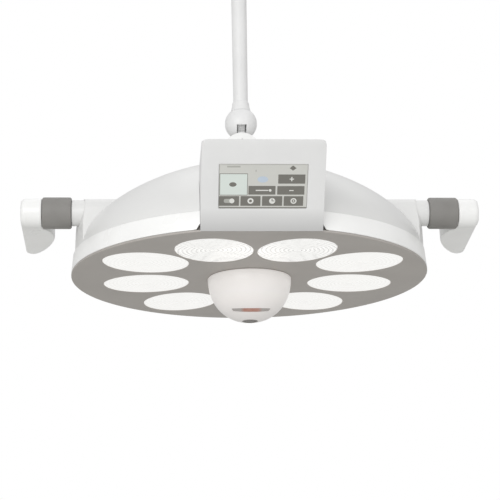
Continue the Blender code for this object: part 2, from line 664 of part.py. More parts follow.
def make_handle(side, word):
    place = {"parent": HEAD, "location": (0, HANDLE_Y, HANDLE_H), "rotation": along_x(side)}
    turned(f"handle_spigot_{word}", [
        (0.0, 0.3000), (0.0068, 0.3000), (SHAFT_RADIUS, 0.2988), (SHAFT_RADIUS, 0.2955), (0.0064, 0.2955),
        (0.0064, 0.2930), (SHAFT_RADIUS, 0.2930), (SHAFT_RADIUS, RING_START - GAP),
        (STUB_RADIUS, RING_START - GAP), (STUB_RADIUS, 0.2080), (0.0, 0.2080),
    ], WHITE, 20, **place)
    bore = SHAFT_RADIUS + GAP
    turned(f"grip_ring_{word}", [
        (bore, RING_END), (RING_RADIUS - 0.0015, RING_END), (RING_RADIUS, RING_END - 0.0015),
        (RING_RADIUS, RING_START + 0.0015), (RING_RADIUS - 0.0015, RING_START), (bore, RING_START),
    ], GREY, MEDIUM, closed=True, **place)
    ring(f"handle_catch_{word}", SHAFT_RADIUS + 0.0002, 0.0067, 0.2933, 0.2952, STEEL, SMALL, **place)
    start = RING_END + GAP
    elbow = turned(f"handle_lever_{word}", [
        (0.0, LEVER_END), (ELBOW_RADIUS - 0.0045, LEVER_END), (ELBOW_RADIUS - 0.0013, LEVER_END - 0.0013),
        (ELBOW_RADIUS, LEVER_END - 0.0045), (ELBOW_RADIUS, start), (0.0, start),
    ], WHITE, MEDIUM, **place)
    outline = [(side * (start + x), y) for x, y in lever_outline()]
    grip = slab(f"grip_{word}", [outline if side > 0 else outline[::-1]], -0.0150, 0.0140, None,
                rounding=0.0060, group=CUTTERS, parent=HEAD, location=(0, HANDLE_Y, HANDLE_H),
                rotation=(math.radians(-LEVER_DROP), 0.0, 0.0))
    cut(elbow, grip, "UNION")
    socket = rod(f"lever_bore_{word}", SHAFT_RADIUS + 0.0005, 0.2700, 0.3010, None, 24, group=CUTTERS,
                 **place)
    cut(elbow, socket)


# ---------------------------------------------------------------- centre dome
def bowl_radius(depth, radius, full_depth):
    return radius * (1.0 - (depth / full_depth) ** DOME_POWER) ** (1.0 / DOME_POWER)


def bowl_profile(radius, full_depth, top, count=9):
    """Points from the rim at height top down to the lowest point, denser where the bowl curves in."""
    shares = [math.sin(math.pi / 2 * i / count) for i in range(count + 1)]
    depths = [full_depth * share for share in shares]
    points = [(bowl_radius(d, radius, full_depth), -d) for d in depths]
    points[0] = (radius, top)
    points[-1] = (0.0, -full_depth)
    return points


def window_profile(grow, inward, outward):
    """Cross-section that follows the bowl's surface round the window's height, grown by a margin."""
    middle = WINDOW_DEPTH
    reach = WINDOW_HEIGHT / 2 + grow
    step = 0.001
    run = (bowl_radius(middle + step, DOME_RADIUS, DOME_DEPTH)
           - bowl_radius(middle - step, DOME_RADIUS, DOME_DEPTH), -2 * step)
    length = math.hypot(*run)
    along = (run[0] / length, run[1] / length)
    out = (-along[1], along[0])
    base = (bowl_radius(middle, DOME_RADIUS, DOME_DEPTH), -middle)
    corners = ((-reach, outward), (reach, outward), (reach, -inward), (-reach, -inward))
    return [(base[0] + along[0] * a + out[0] * o, base[1] + along[1] * a + out[1] * o) for a, o in corners]


def window_band(name, surface, grow, inward, outward, span, **place):
    """A band of the bowl's surface, centred on the panel side."""
    return turned(name, window_profile(grow, inward, outward), surface, 12, degrees=span, closed=True,
                  rotation=(0.0, 0.0, math.radians(-90.0 - span / 2)), **place)


def make_dome():
    outer = bowl_profile(DOME_RADIUS, DOME_DEPTH, -0.0006)
    inner = bowl_profile(DOME_RADIUS - DOME_WALL, DOME_DEPTH - DOME_WALL, -0.0006)
    shell = turned("dome_shell", [*inner[::-1], *outer], DOME_WHITE, 32, parent=HEAD)
    opening = window_band("window_opening", None, GAP, 0.0060, 0.0040, WINDOW_SPAN + 1.0,
                          group=CUTTERS, parent=HEAD)
    cap_window(shell, opening)
    lens_hole = rod("dome_lens_hole", 0.0106 + GAP, -0.070, -0.050, None, 20, group=CUTTERS, parent=HEAD)
    cut(shell, lens_hole)
    window = window_band("sensor_window", WINDOW_RED, 0.0, 0.0017, -0.0004, WINDOW_SPAN, parent=HEAD)
    close_ends(window)
    dome_lens = -DOME_DEPTH + 0.0010
    turned("dome_lens", [
        (0.0, dome_lens + 0.0025), (0.0106, dome_lens + 0.0025), (0.0106, dome_lens + 0.0010),
        (0.0096, dome_lens + 0.0002), (0.0, dome_lens - 0.0004),
    ], DARK, 20, parent=HEAD)


def close_ends(item):
    """A part turn leaves its two end sections open, so they are filled and the turn is made real."""
    graph = bpy.context.evaluated_depsgraph_get()
    mesh = bpy.data.meshes.new_from_object(item.evaluated_get(graph))
    shape = bmesh.new()
    shape.from_mesh(mesh)
    bmesh.ops.holes_fill(shape, edges=shape.edges, sides=8)
    bmesh.ops.recalc_face_normals(shape, faces=shape.faces)
    shape.to_mesh(mesh)
    shape.free()
    item.modifiers.clear()
    item.data = mesh
    return item


def cap_window(shell, opening):
    close_ends(opening)
    cut(shell, opening)


def make_core():
    """The fixed core that the dome slips over, standing through the face plate to the chassis."""
    depth = DOME_DEPTH - DOME_WALL - 0.0090
    radius = DOME_RADIUS - DOME_WALL - 0.0060
    below = bowl_profile(radius, depth, -0.0008, 6)
    core = turned("sensor_core", [
        (0.0, CHASSIS_LOW - GAP), (0.0300, CHASSIS_LOW - GAP), (0.0300, 0.0060), (0.0470, 0.0040),
        (0.0470, -0.0008), *below,
    ], BLACK, MEDIUM, parent=HEAD)
    pocket = block("core_pocket", (0.0300, 0.0300, 0.0120), None, group=CUTTERS, parent=HEAD,
                   location=(0, 0, -depth + 0.0010))
    cut(core, pocket)
    block("sensor_board", (0.0240, 0.0240, 0.0016), BOARD, parent=HEAD, location=(0, 0, -depth + 0.0030))


make_mount()
make_drop()
make_knuckle()
make_cover()
make_band()
make_face()
make_chassis()
make_panel()
for handle_side, handle_word in ((-1, "left"), (1, "right")):
    make_handle(handle_side, handle_word)
make_core()
make_dome()
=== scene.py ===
"""Looks of the ceiling-hung dental operating light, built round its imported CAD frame.

Heights on the lamp head are measured up from the face plate's underside, in metres, and the control
panel faces -Y. Every piece rides on the CAD body that carries it.
"""

import math

import bmesh
import bpy
from mathutils import Matrix, Vector


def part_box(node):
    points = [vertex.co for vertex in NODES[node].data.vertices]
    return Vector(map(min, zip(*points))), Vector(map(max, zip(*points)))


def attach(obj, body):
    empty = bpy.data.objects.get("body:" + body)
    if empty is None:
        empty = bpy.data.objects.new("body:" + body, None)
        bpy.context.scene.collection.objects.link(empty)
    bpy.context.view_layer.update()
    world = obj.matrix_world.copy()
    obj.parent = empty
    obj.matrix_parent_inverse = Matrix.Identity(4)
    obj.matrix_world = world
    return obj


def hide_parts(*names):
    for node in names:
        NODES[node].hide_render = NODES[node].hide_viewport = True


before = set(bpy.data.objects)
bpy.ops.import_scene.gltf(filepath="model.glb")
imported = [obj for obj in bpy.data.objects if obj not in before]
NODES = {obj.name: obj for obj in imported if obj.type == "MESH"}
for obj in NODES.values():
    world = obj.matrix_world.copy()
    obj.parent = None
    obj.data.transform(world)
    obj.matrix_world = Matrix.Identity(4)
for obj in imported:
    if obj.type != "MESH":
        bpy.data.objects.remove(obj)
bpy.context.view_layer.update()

# ---------------------------------------------------------------- places read from the frame
def middle_height(node):
    low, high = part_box(node)
    return (low.z + high.z) / 2


PLATE_LOW, PLATE_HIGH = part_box("face_plate")
PLATE_RADIUS = PLATE_HIGH.y
HEAD = Vector(((PLATE_LOW.x + PLATE_HIGH.x) / 2, 0.0, PLATE_LOW.z))
PITCH_Z = middle_height("pitch_pin")
ROLL_Z = middle_height("roll_pin")
BALL = Vector((0.0, 0.0, PITCH_Z))
ROLL = Vector((0.0, 0.0, ROLL_Z))

# ---------------------------------------------------------------- sizes shared with the CAD
GAP = 0.0003                    # clearance between pieces that touch
WALL = 0.003                    # of the cover and of the panel housing
PLATE_THICKNESS = 0.003
PLATE_CHORD_Y = -0.2340         # the plate ends straight in front of the control panel
CORE_HOLE = 0.0480
BAND_FOOT = 0.0033
BAND_TOP = 0.0282
BAND_TOP_RADIUS = 0.2426
BAND_CORNER = 0.0075            # radius of the band's lower corners beside the panel

# cover dome: its height at radius r is SPRING + RISE * (1 - (r / radius)^P)^(1/P)
COVER_RADIUS = 0.2413
COVER_SPRING = 0.0282
COVER_RISE = 0.1298
COVER_POWER = 1.7
COVER_FLOOR = BAND_TOP + GAP

# suspension
BOLT_CIRCLE, BOLT_HOLE = 0.035, 0.0033
SCREW_CIRCLE, SCREW_HOLE = 0.0235, 0.0023
CABLE_PLACE, CABLE_HOLE = 0.034, 0.005      # the hole stands this far behind the centre
TUBE_TOP_RADIUS, TUBE_FOOT_RADIUS, TUBE_BORE = 0.0113, 0.0103, 0.0080
BALL_RADIUS = 0.0228
BALL_CUT = 0.0175               # the ball is flat above this height over its centre
SLOT_HALF = 0.0068
SLOT_REACH = 67.0               # degrees either way from straight down, with room for the pitch
HUB_CLEAR = 0.0142              # the slot's radius round the tongue's hub
TONGUE_RADIUS, TONGUE_HALF, NECK_HALF = 0.0135, 0.0050, 0.0048
BARREL_RADIUS, BARREL_HALF = 0.0110, 0.0137
PIN_RADIUS = 0.0040
CHEEK_RADIUS, CHEEK_INNER, CHEEK_OUTER = 0.0245, 0.0140, 0.0220
SADDLE_LOW, SADDLE_HIGH = 0.1592, 0.1667

# side handles: one axis along X
HANDLE = HEAD + Vector((0.0, -0.0610, 0.0757))
BOSS_TOP_RADIUS, BOSS_FOOT_HALF = 0.0190, 0.0245
STUB_RADIUS, SHAFT_RADIUS = 0.0176, 0.0080
RING_RADIUS, RING_START, RING_END = 0.0214, 0.2426, 0.2818
LEVER_START, LEVER_END, ELBOW_RADIUS = 0.2821, 0.3105, 0.0195
LEVER_DROP = math.radians(6.0)

# control panel
PANEL_X, PANEL_HALF, PANEL_LEAN = 0.0018, 0.0764, math.radians(40.0)
PANEL_TOP = (-0.3132, 0.0938)   # y and height of the face's top edge
PANEL_LENGTH = 0.1225           # of the face, down to its foot
PANEL_BACK_Y = -0.2000
PANEL_MOUTH_H = 0.0600          # the housing is open into the head below this height
SCREEN_W, SCREEN_H, SCREEN_FROM_TOP = 0.1092, 0.0590, 0.0326

# lens pairs: distance from the centre and angle from the panel side, both sides alike
LENS_PAIRS = ((0.1529, 20.7), (0.1649, 59.9), (0.1458, 102.3), (0.1671, 146.2))
LENS_RADIAL, LENS_TANGENTIAL = 0.0598, 0.0505
LENS_GROOVES = 10

# centre dome
DOME_RADIUS, DOME_DEPTH, DOME_POWER, DOME_WALL = 0.0576, 0.0617, 2.15, 0.0025
DOME_LENS_RADIUS = 0.0106
WINDOW_DEPTH = 0.0527           # below the plate, where the sensor window sits
WINDOW_HALF_HEIGHT = 0.0033
WINDOW_HALF_SPAN = 46.0         # degrees round the dome
WINDOW_RISE = 0.0022            # the window's ends stand this much higher than its middle
WINDOW_TAPER = 0.35             # share of its height that the window loses at its ends

# ---------------------------------------------------------------- light
# the dome's glow is painted light from the lenses; the lenses' glow is their own lamp light
DOME_PAINTED_GLOW, LENS_GLOW = 0.17, 0.54
AMBIENT, KEY, FILL, TOP = 0.63, 38.0, 8.0, 12.0
FLOOR_Z, FLOOR_HALF = -1.45, 60.0

TINY = 1e-7                     # lengths below this count as none


# ---------------------------------------------------------------- materials
def srgb(*values):
    """A colour given as 0 to 255 screen values, as linear light."""
    return tuple(v / 255 / 12.92 if v <= 10 else ((v / 255 + 0.055) / 1.055) ** 2.4 for v in values)


class Surface:
    """A Principled material under construction, with short ways to add nodes."""

    def __init__(self, name, colour, roughness, metallic=0.0, specular=0.5, coat=0.0):
        self.material = bpy.data.materials.new(name)
        self.material.use_nodes = True
        self.tree = self.material.node_tree
        self.shader = self.tree.nodes["Principled BSDF"]
        self.shader.inputs["Base Color"].default_value = (*colour, 1.0)
        self.shader.inputs["Roughness"].default_value = roughness
        self.shader.inputs["Metallic"].default_value = metallic
        self.shader.inputs["Specular IOR Level"].default_value = specular
        self.shader.inputs["Coat Weight"].default_value = coat
        self.shader.inputs["Coat Roughness"].default_value = 0.15
        self.coords = self.tree.nodes.new("ShaderNodeTexCoord").outputs["Object"]

    def node(self, kind, links, **settings):
        """Adds a node. links holds each socket's value, or the socket that feeds it."""
        made = self.tree.nodes.new("ShaderNode" + kind)
        for key, value in settings.items():
            setattr(made, key, value)
        for socket, value in links.items():
            if isinstance(value, bpy.types.NodeSocket):
                self.tree.links.new(value, made.inputs[socket])
            else:
                made.inputs[socket].default_value = value
        return made

    def noise(self, scale, detail=3.0, stretch=(1, 1, 1)):
        mapped = self.node("Mapping", {"Vector": self.coords, "Scale": stretch})
        texture = self.node("TexNoise", {"Vector": mapped.outputs[0], "Scale": scale, "Detail": detail})
        return texture.outputs[0]

    def spread(self, value, low, high, start=0.3, end=0.7):
        """Maps a pattern, taken between start and end, onto a range."""
        return self.node("MapRange", {"Value": value, "From Min": start, "From Max": end,
                                      "To Min": low, "To Max": high}).outputs[0]

    def clouds(self, scale=14.0, detail=4.0):
        """Soft patches, as a 0 to 1 pattern."""
        return self.spread(self.noise(scale, detail), 0.0, 1.0)

    def along(self, axis):
        """The place along one of the piece's own axes, in metres."""
        return self.node("SeparateXYZ", {0: self.coords}).outputs["XYZ".index(axis)]

    def maths(self, operation, *values):
        return self.node("Math", dict(enumerate(values)), operation=operation).outputs[0]

    def blend(self, factor, one, two):
        """Mixes two colours. A Mix node's sockets for colours are 6 and 7, and its colour comes out of 2."""
        mix = self.node("Mix", {}, data_type="RGBA")
        self.tree.links.new(factor, mix.inputs["Factor"])
        for socket, value in ((6, one), (7, two)):
            if isinstance(value, bpy.types.NodeSocket):
                self.tree.links.new(value, mix.inputs[socket])
            else:
                mix.inputs[socket].default_value = (*value, 1.0)
        return mix.outputs[2]

    def use(self, socket, value):
        self.tree.links.new(value, self.shader.inputs[socket])

    def smudge(self, low, high, scale=9.0, detail=5.0):
        """Roughness that wanders between two values."""
        self.use("Roughness", self.spread(self.noise(scale, detail), low, high))

    def glow(self, colour, strength):
        self.shader.inputs["Emission Color"].default_value = (*colour, 1.0)
        self.use("Emission Strength", strength)

    def bump(self, height, strength, distance):
        made = self.node("Bump", {"Height": height, "Strength": strength, "Distance": distance})
        self.use("Normal", made.outputs[0])


def shade(colour, factor):
    return tuple(min(1.0, c * factor) for c in colour)


def moulded(name, colour, roughness, grain=900.0, cloud=0.035, coat=0.0, bump=0.05):
    """Moulded or painted surface: clouding, specks, smudges in the gloss and a very fine orange peel."""
    made = Surface(name, colour, roughness, coat=coat)
    tone = made.blend(made.clouds(), shade(colour, 1.0 - cloud), shade(colour, 1.0 + cloud))
    specks = made.spread(made.noise(420.0, 2.0), 0.0, 0.10, 0.25, 0.75)
    made.use("Base Color", made.blend(specks, tone, shade(colour, 0.93)))
    made.smudge(roughness - 0.05, roughness + 0.08)
    made.bump(made.noise(grain, 2.0), bump, 0.0002)
    return made.material


def brushed(name, colour, roughness):
    """Machined metal: fine lines along one direction, with uneven gloss."""
    made = Surface(name, colour, roughness, metallic=1.0)
    lines = made.noise(240.0, 3.0, (1, 1, 30))
    made.use("Base Color", made.blend(made.spread(lines, 0.0, 1.0), shade(colour, 0.86), shade(colour, 1.08)))
    made.smudge(roughness - 0.08, roughness + 0.12, 30.0, 4.0)
    made.bump(lines, 0.12, 0.0003)
    return made.material


def rubbery(name, colour, roughness):
    """Grip rubber: a dense fine grain with slightly paler rubbed patches."""
    made = Surface(name, colour, roughness, specular=0.35)
    made.use("Base Color", made.blend(made.clouds(28.0, 5.0), shade(colour, 0.93), shade(colour, 1.08)))
    made.smudge(roughness - 0.08, roughness + 0.10, 60.0, 4.0)
    made.bump(made.noise(1500.0, 3.0), 0.25, 0.0003)
    return made.material


def board(name, colour):
    """Circuit board: solder mask over a grid of tracks."""
    made = Surface(name, colour, 0.35, coat=0.3)
    tracks = made.node("TexBrick", {"Vector": made.coords, "Scale": 160.0, "Mortar Size": 0.03,
                                    "Color1": (0, 0, 0, 1), "Color2": (0.2, 0.2, 0.2, 1),
                                    "Mortar": (1, 1, 1, 1)})
    made.use("Base Color", made.blend(tracks.outputs[0], colour, shade(colour, 1.9)))
    made.smudge(0.28, 0.45, 50.0, 3.0)
    made.bump(tracks.outputs[0], 0.3, 0.0003)
    return made.material


def lens_surface(name, groove, dimming):
    """Frosted, lit lens with painted shade in grey rings over its grooves, following the oval and broken up
    by flecks, where its glow also dims.
    """
    made = Surface(name, srgb(246, 246, 244), 0.22, coat=0.4)
    scaled = made.node("Mapping", {"Vector": made.coords,
                                   "Scale": (1 / LENS_RADIAL, 1 / LENS_TANGENTIAL, 0.0)})
    radius = made.node("VectorMath", {0: scaled.outputs[0]}, operation="LENGTH").outputs["Value"]
    wave = made.maths("COSINE", made.maths("MULTIPLY", radius, 2 * math.pi * LENS_GROOVES))
    fleck = made.spread(made.noise(260.0, 4.0), 0.3, 1.0)
    factor = made.maths("MULTIPLY", made.spread(wave, 0.0, 1.0, 0.2, 1.0), fleck)
    # painted shade: grey rings where the grooves fall, darker or fainter in each copy of the material
    made.use("Base Color", made.blend(factor, srgb(214, 214, 213), groove))
    made.smudge(0.16, 0.30, 40.0, 3.0)
    made.glow((1.0, 0.99, 0.97), made.spread(factor, LENS_GLOW, LENS_GLOW * dimming, 0.0, 1.0))
    made.bump(made.noise(700.0, 2.0), 0.10, 0.0002)
    return made.material


def glowing_bowl(name, colour):
    """Translucent white moulding, with painted light: a faint glow near its rim, standing in for the lenses'
    light falling on it.
    """
    made = Surface(name, colour, 0.30, coat=0.2)
    made.use("Base Color", made.blend(made.clouds(), shade(colour, 0.97), colour))
    made.smudge(0.25, 0.38)
    # painted light: glow rising towards the rim by the face plate, where the lenses light the dome
    made.glow((1.0, 0.985, 0.965), made.spread(made.along("Z"), 0.0, DOME_PAINTED_GLOW, -0.052, -0.012))
    made.bump(made.noise(900.0, 2.0), 0.05, 0.0002)
    return made.material


def panel_surface(name, colour):
    """Satin panel plastic, with painted shade that darkens it towards its foot, where it meets the face
    plate.
    """
    made = Surface(name, colour, 0.42)
    tone = made.blend(made.clouds(), shade(colour, 0.975), shade(colour, 1.025))
    # painted shade: the colour darkens towards the housing's foot, standing in for the face turning under
    # towards the plate
    foot = made.spread(made.along("Y"), 1.0, 0.0, 0.001, 0.024)
    made.use("Base Color", made.blend(foot, tone, shade(colour, 0.72)))
    made.smudge(0.37, 0.50)
    made.bump(made.noise(1200.0, 2.0), 0.12, 0.0002)
    return made.material


def window_surface(name):
    """Tinted window: red in the middle, smoky grey to each end."""
    made = Surface(name, srgb(150, 110, 104), 0.18, coat=0.6)
    share = made.spread(made.maths("ABSOLUTE", made.along("X")), 0.0, 1.0, 0.0095, 0.0150)
    red = made.blend(made.clouds(90.0, 3.0), srgb(180, 128, 112), srgb(196, 150, 136))
    made.use("Base Color", made.blend(share, red, srgb(178, 172, 169)))
    made.smudge(0.14, 0.24, 120.0, 3.0)
    made.bump(made.noise(500.0), 0.05, 0.0002)
    return made.material


def screen_ink(name, colour, cloud):
    """Glossy colour shown behind the touch screen's glass."""
    return moulded(name, colour, 0.16, grain=200.0, cloud=cloud, coat=0.5, bump=0.01)


HOUSING = moulded("white_housing", srgb(229, 229, 228), 0.34, cloud=0.015)
BAND = moulded("band_white", srgb(250, 250, 249), 0.28, coat=0.2)
COAT = moulded("white_powder_coat", srgb(234, 234, 234), 0.36, grain=600.0, bump=0.10)
LEVER = moulded("lever_white", srgb(246, 246, 245), 0.30, coat=0.15)
TAUPE = moulded("taupe_plate", srgb(178, 173, 168), 0.46, grain=1400.0, cloud=0.03, bump=0.12)
PANEL = panel_surface("panel_grey", srgb(230, 230, 230))
DOME = glowing_bowl("dome_white", srgb(252, 248, 246))
GRIP = rubbery("grip_grey", srgb(139, 137, 134), 0.55)
STEEL = brushed("machined_steel", srgb(190, 190, 192), 0.30)
ALUMINIUM = brushed("machined_aluminium", srgb(205, 205, 208), 0.38)
ACETAL = moulded("white_acetal", srgb(232, 232, 230), 0.40)
BLACK = moulded("black_plastic", srgb(30, 30, 31), 0.45, grain=900.0, bump=0.15)
BOARD = board("circuit_board", srgb(38, 110, 66))
# two copies of one lens material, with darker and with fainter painted shade in the grooves
LENS = lens_surface("lens_dark_groove_shade", srgb(150, 150, 148), 0.66)
LENS_FAINT = lens_surface("lens_faint_groove_shade", srgb(205, 205, 203), 0.93)
WINDOW = window_surface("sensor_window_tint")
DARK = moulded("dark_lens_glass", srgb(112, 107, 102), 0.30, grain=300.0, coat=0.2, bump=0.02)

# screen colours
GLASS = screen_ink("screen_background", srgb(208, 208, 203), 0.01)
TILE = screen_ink("screen_tile", srgb(220, 228, 223), 0.02)
BUTTON = screen_ink("screen_button", srgb(116, 114, 108), 0.03)
SYMBOL = screen_ink("screen_symbol", srgb(226, 226, 222), 0.01)
BLUE = screen_ink("screen_blue", srgb(194, 207, 222), 0.03)
FAINT = screen_ink("screen_faint", srgb(176, 176, 170), 0.03)

for nodes, surface in (
    (["swivel_housing", "hub_plate", "chassis", *(f"led_module_{i}" for i in range(1, 9))], ALUMINIUM),
    (["swivel_bearing", "flange_screw_1", "flange_screw_2", "flange_screw_3", "tube_nut", "pitch_pin",
      "roll_pin", "handle_catch_left", "handle_catch_right"], STEEL),
    (["pitch_washer_left", "pitch_washer_right"], ACETAL),
    (["terminal_block", "supply_cable", "display_module", "sensor_core"], BLACK),
    (["driver_board", "control_board", "sensor_board"], BOARD),
    (["rim_gasket"], TAUPE),
):
    for node in nodes:
        NODES[node].data.materials.clear()
        NODES[node].data.materials.append(surface)


# ---------------------------------------------------------------- mesh helpers
def link(name, data):
    made = bpy.data.objects.new(name, data)
    bpy.context.scene.collection.objects.link(made)
    return made


def raw(name, points, faces):
    """An object from its points and faces, with doubled points joined and faces turned outward."""
    same_place = 0.000002
    mesh = bpy.data.meshes.new(name)
    mesh.from_pydata([tuple(p) for p in points], [], faces)
    mesh.validate()
    shape = bmesh.new()
    shape.from_mesh(mesh)
    bmesh.ops.remove_doubles(shape, verts=shape.verts, dist=same_place)
    bmesh.ops.recalc_face_normals(shape, faces=shape.faces)
    shape.to_mesh(mesh)
    shape.free()
    return soften(link(name, mesh))


def soften(made, angle=28.0):
    made.data.shade_smooth()
    made.data.set_sharp_from_angle(angle=math.radians(angle))
    return made


def bend(points, radius, closed=True, segments=4):
    """An outline with every clear corner rounded off."""
    clear_corner = math.radians(12)
    longest = 0.45              # share of a side that one corner may take
    result = []
    count = len(points)
    for i, point in enumerate(points):
        if not closed and i in (0, count - 1):
            result.append(tuple(point))
            continue
        here, before, after = Vector(point), Vector(points[i - 1]), Vector(points[(i + 1) % count])
        back, forth = before - here, after - here
        if min(back.length, forth.length) < TINY or math.pi - back.angle(forth) < clear_corner:
            result.append(tuple(point))
            continue
        start = here + back.normalized() * min(radius, back.length * longest)
        end = here + forth.normalized() * min(radius, forth.length * longest)
        result += [tuple(quadratic(start, here, end, k / segments)) for k in range(segments + 1)]
    return result


def lathe(name, profile, steps, closed=True):
    """A profile of (radius, z) points turned about Z."""
    points, faces = [], []
    count = len(profile)
    for s in range(steps):
        turn = 2 * math.pi * s / steps
        points += [(r * math.cos(turn), r * math.sin(turn), z) for r, z in profile]
    for s in range(steps):
        a, b = s * count, ((s + 1) % steps) * count
        for i in range(count if closed else count - 1):
            j = (i + 1) % count
            on_axis = profile[i][0] < TINY, profile[j][0] < TINY
            if all(on_axis):
                continue
            if on_axis[0]:
                faces.append([a + i, b + j, a + j])
            elif on_axis[1]:
                faces.append([a + i, b + i, a + j])
            else:
                faces.append([a + i, b + i, b + j, a + j])
    return raw(name, points, faces)


def stack(name, loops):
    """Loops of equal length joined one to the next, with both ends closed."""
    count = len(loops[0])
    points = [p for loop in loops for p in loop]
    faces = [[a * count + i, a * count + (i + 1) % count, (a + 1) * count + (i + 1) % count,
              (a + 1) * count + i] for a in range(len(loops) - 1) for i in range(count)]
    faces += [list(range(count)), [(len(loops) - 1) * count + i for i in range(count)]]
    return raw(name, points, faces)


def prism(name, outline, low, high, grow=((0.0, 0.0), (0.0, 1.0))):
    """An outline in XY run up Z. grow lists (how far the outline is widened, share of the height)."""
    centre = Vector([sum(values) / len(outline) for values in zip(*outline)])
    loops = []
    for wider, share in grow:
        z = low + (high - low) * share
        loop = []
        for p in outline:
            away = Vector(p) - centre
            away = away * (1 + wider / max(away.length, TINY))
            loop.append((centre.x + away.x, centre.y + away.y, z))
        loops.append(loop)
    return stack(name, loops)


def settle(made):
    """Makes an object's modifiers real."""
    bpy.context.view_layer.update()
    graph = bpy.context.evaluated_depsgraph_get()
    mesh = bpy.data.meshes.new_from_object(made.evaluated_get(graph))
    made.modifiers.clear()
    made.data = mesh
    return made


def combine(made, other, operation="DIFFERENCE"):
    """Cuts or joins with another object, which is used up."""
    boolean = made.modifiers.new("shape", "BOOLEAN")
    boolean.operation = operation
    boolean.object = other
    boolean.solver = "EXACT"
    settle(made)
    bpy.data.objects.remove(other, do_unlink=True)
    return made


def rim(made, width, segments, angle=35.0):
    """Rounds an object's clear edges."""
    rounding = made.modifiers.new("edges", "BEVEL")
    rounding.width = width
    rounding.segments = segments
    rounding.limit_method = "ANGLE"
    rounding.angle_limit = math.radians(angle)
    rounding.harden_normals = False
    return settle(made)


def put(made, location, rotation=(0, 0, 0)):
    made.location = location
    made.rotation_euler = rotation
    bpy.context.view_layer.update()
    return made


def finish_piece(made, surface, body, replaces, angle=28.0):
    """Paints a piece, fixes its smooth shading and ties it to its body."""
    soften(made, angle)
    surfaces = surface if isinstance(surface, list) else [surface]
    paints = [face.material_index if len(surfaces) > 1 else 0 for face in made.data.polygons]
    made.data.materials.clear()
    for material in surfaces:
        made.data.materials.append(material)
    made.data.polygons.foreach_set("material_index", paints)
    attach(made, body)
    if replaces:
        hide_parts(replaces)


def arc(radius, start, end, count):
    turns = [math.radians(start + (end - start) * i / count) for i in range(count + 1)]
    return [(radius * math.cos(t), radius * math.sin(t)) for t in turns]


def circle(radius, count):
    return arc(radius, 0.0, 360.0, count)[:-1]


def rectangle(left, right, low, high):
    return [(left, low), (right, low), (right, high), (left, high)]


def quadratic(start, middle, end, t):
    """A point, or one coordinate of it, on the curve from start to end that is drawn towards middle."""
    return start * (1 - t) ** 2 + middle * (2 * t * (1 - t)) + end * t * t


ALONG_X = (0.0, math.pi / 2, 0.0)
ALONG_Y = (-math.pi / 2, 0.0, 0.0)
SIDE_ON = (math.pi / 2, 0.0, math.pi / 2)      # an outline drawn in (y, z), run along X


def pin_bore(made, place, rotation, half=0.04):
    """Drills the hole for a knuckle pin right through."""
    bore = prism("bore", circle(PIN_RADIUS + GAP, 48), -half, half)
    combine(made, put(bore, place, rotation))


# ---------------------------------------------------------------- ceiling mount
def make_flange():
    low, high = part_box("ceiling_flange")
    radius = (high.y - low.y) / 2
    edge = bend([(0, high.z), (radius, high.z), (radius, low.z), (0, low.z)], 0.0006, closed=False)
    flange = lathe("ceiling_flange_disc", edge, 128, closed=False)
    beyond = 0.001

    def drill(name, hole, count, distance, angle, top=high.z + beyond):
        turn = math.radians(angle)
        drill_bit = prism(name, circle(hole, count), low.z - beyond, top)
        combine(flange, put(drill_bit, (distance * math.cos(turn), distance * math.sin(turn), 0)))

    for k in range(4):
        drill("bolt_hole", BOLT_HOLE, 32, BOLT_CIRCLE, 45 + 90 * k)
    drill("cable_hole", CABLE_HOLE, 40, CABLE_PLACE, 90)
    for k in range(3):
        drill("screw_hole", SCREW_HOLE, 32, SCREW_CIRCLE, 30 + 120 * k, high.z - 0.0020)
    finish_piece(flange, ALUMINIUM, "mount", "ceiling_flange")


def make_canopy():
    low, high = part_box("canopy")
    radius, floor, top = (high.x - low.x) / 2, low.z, high.z
    wall, foot, hole = 0.0022, 0.0020, 0.0130
    cup = [(radius, top), (radius, floor + 0.0075), (radius - 0.0008, floor + 0.0068),
           (radius - 0.0008, floor + 0.0060), (radius - 0.0002, floor + 0.0052), (radius - 0.0045, floor),
           (hole + 0.0020, floor), (hole, floor + 0.0006), (hole, floor + foot),
           (radius - 0.006, floor + foot), (radius - wall, floor + 0.0062), (radius - wall, top)]
    finish_piece(lathe("canopy_cup", bend(cup, 0.0012), 128), COAT, "mount", "canopy")


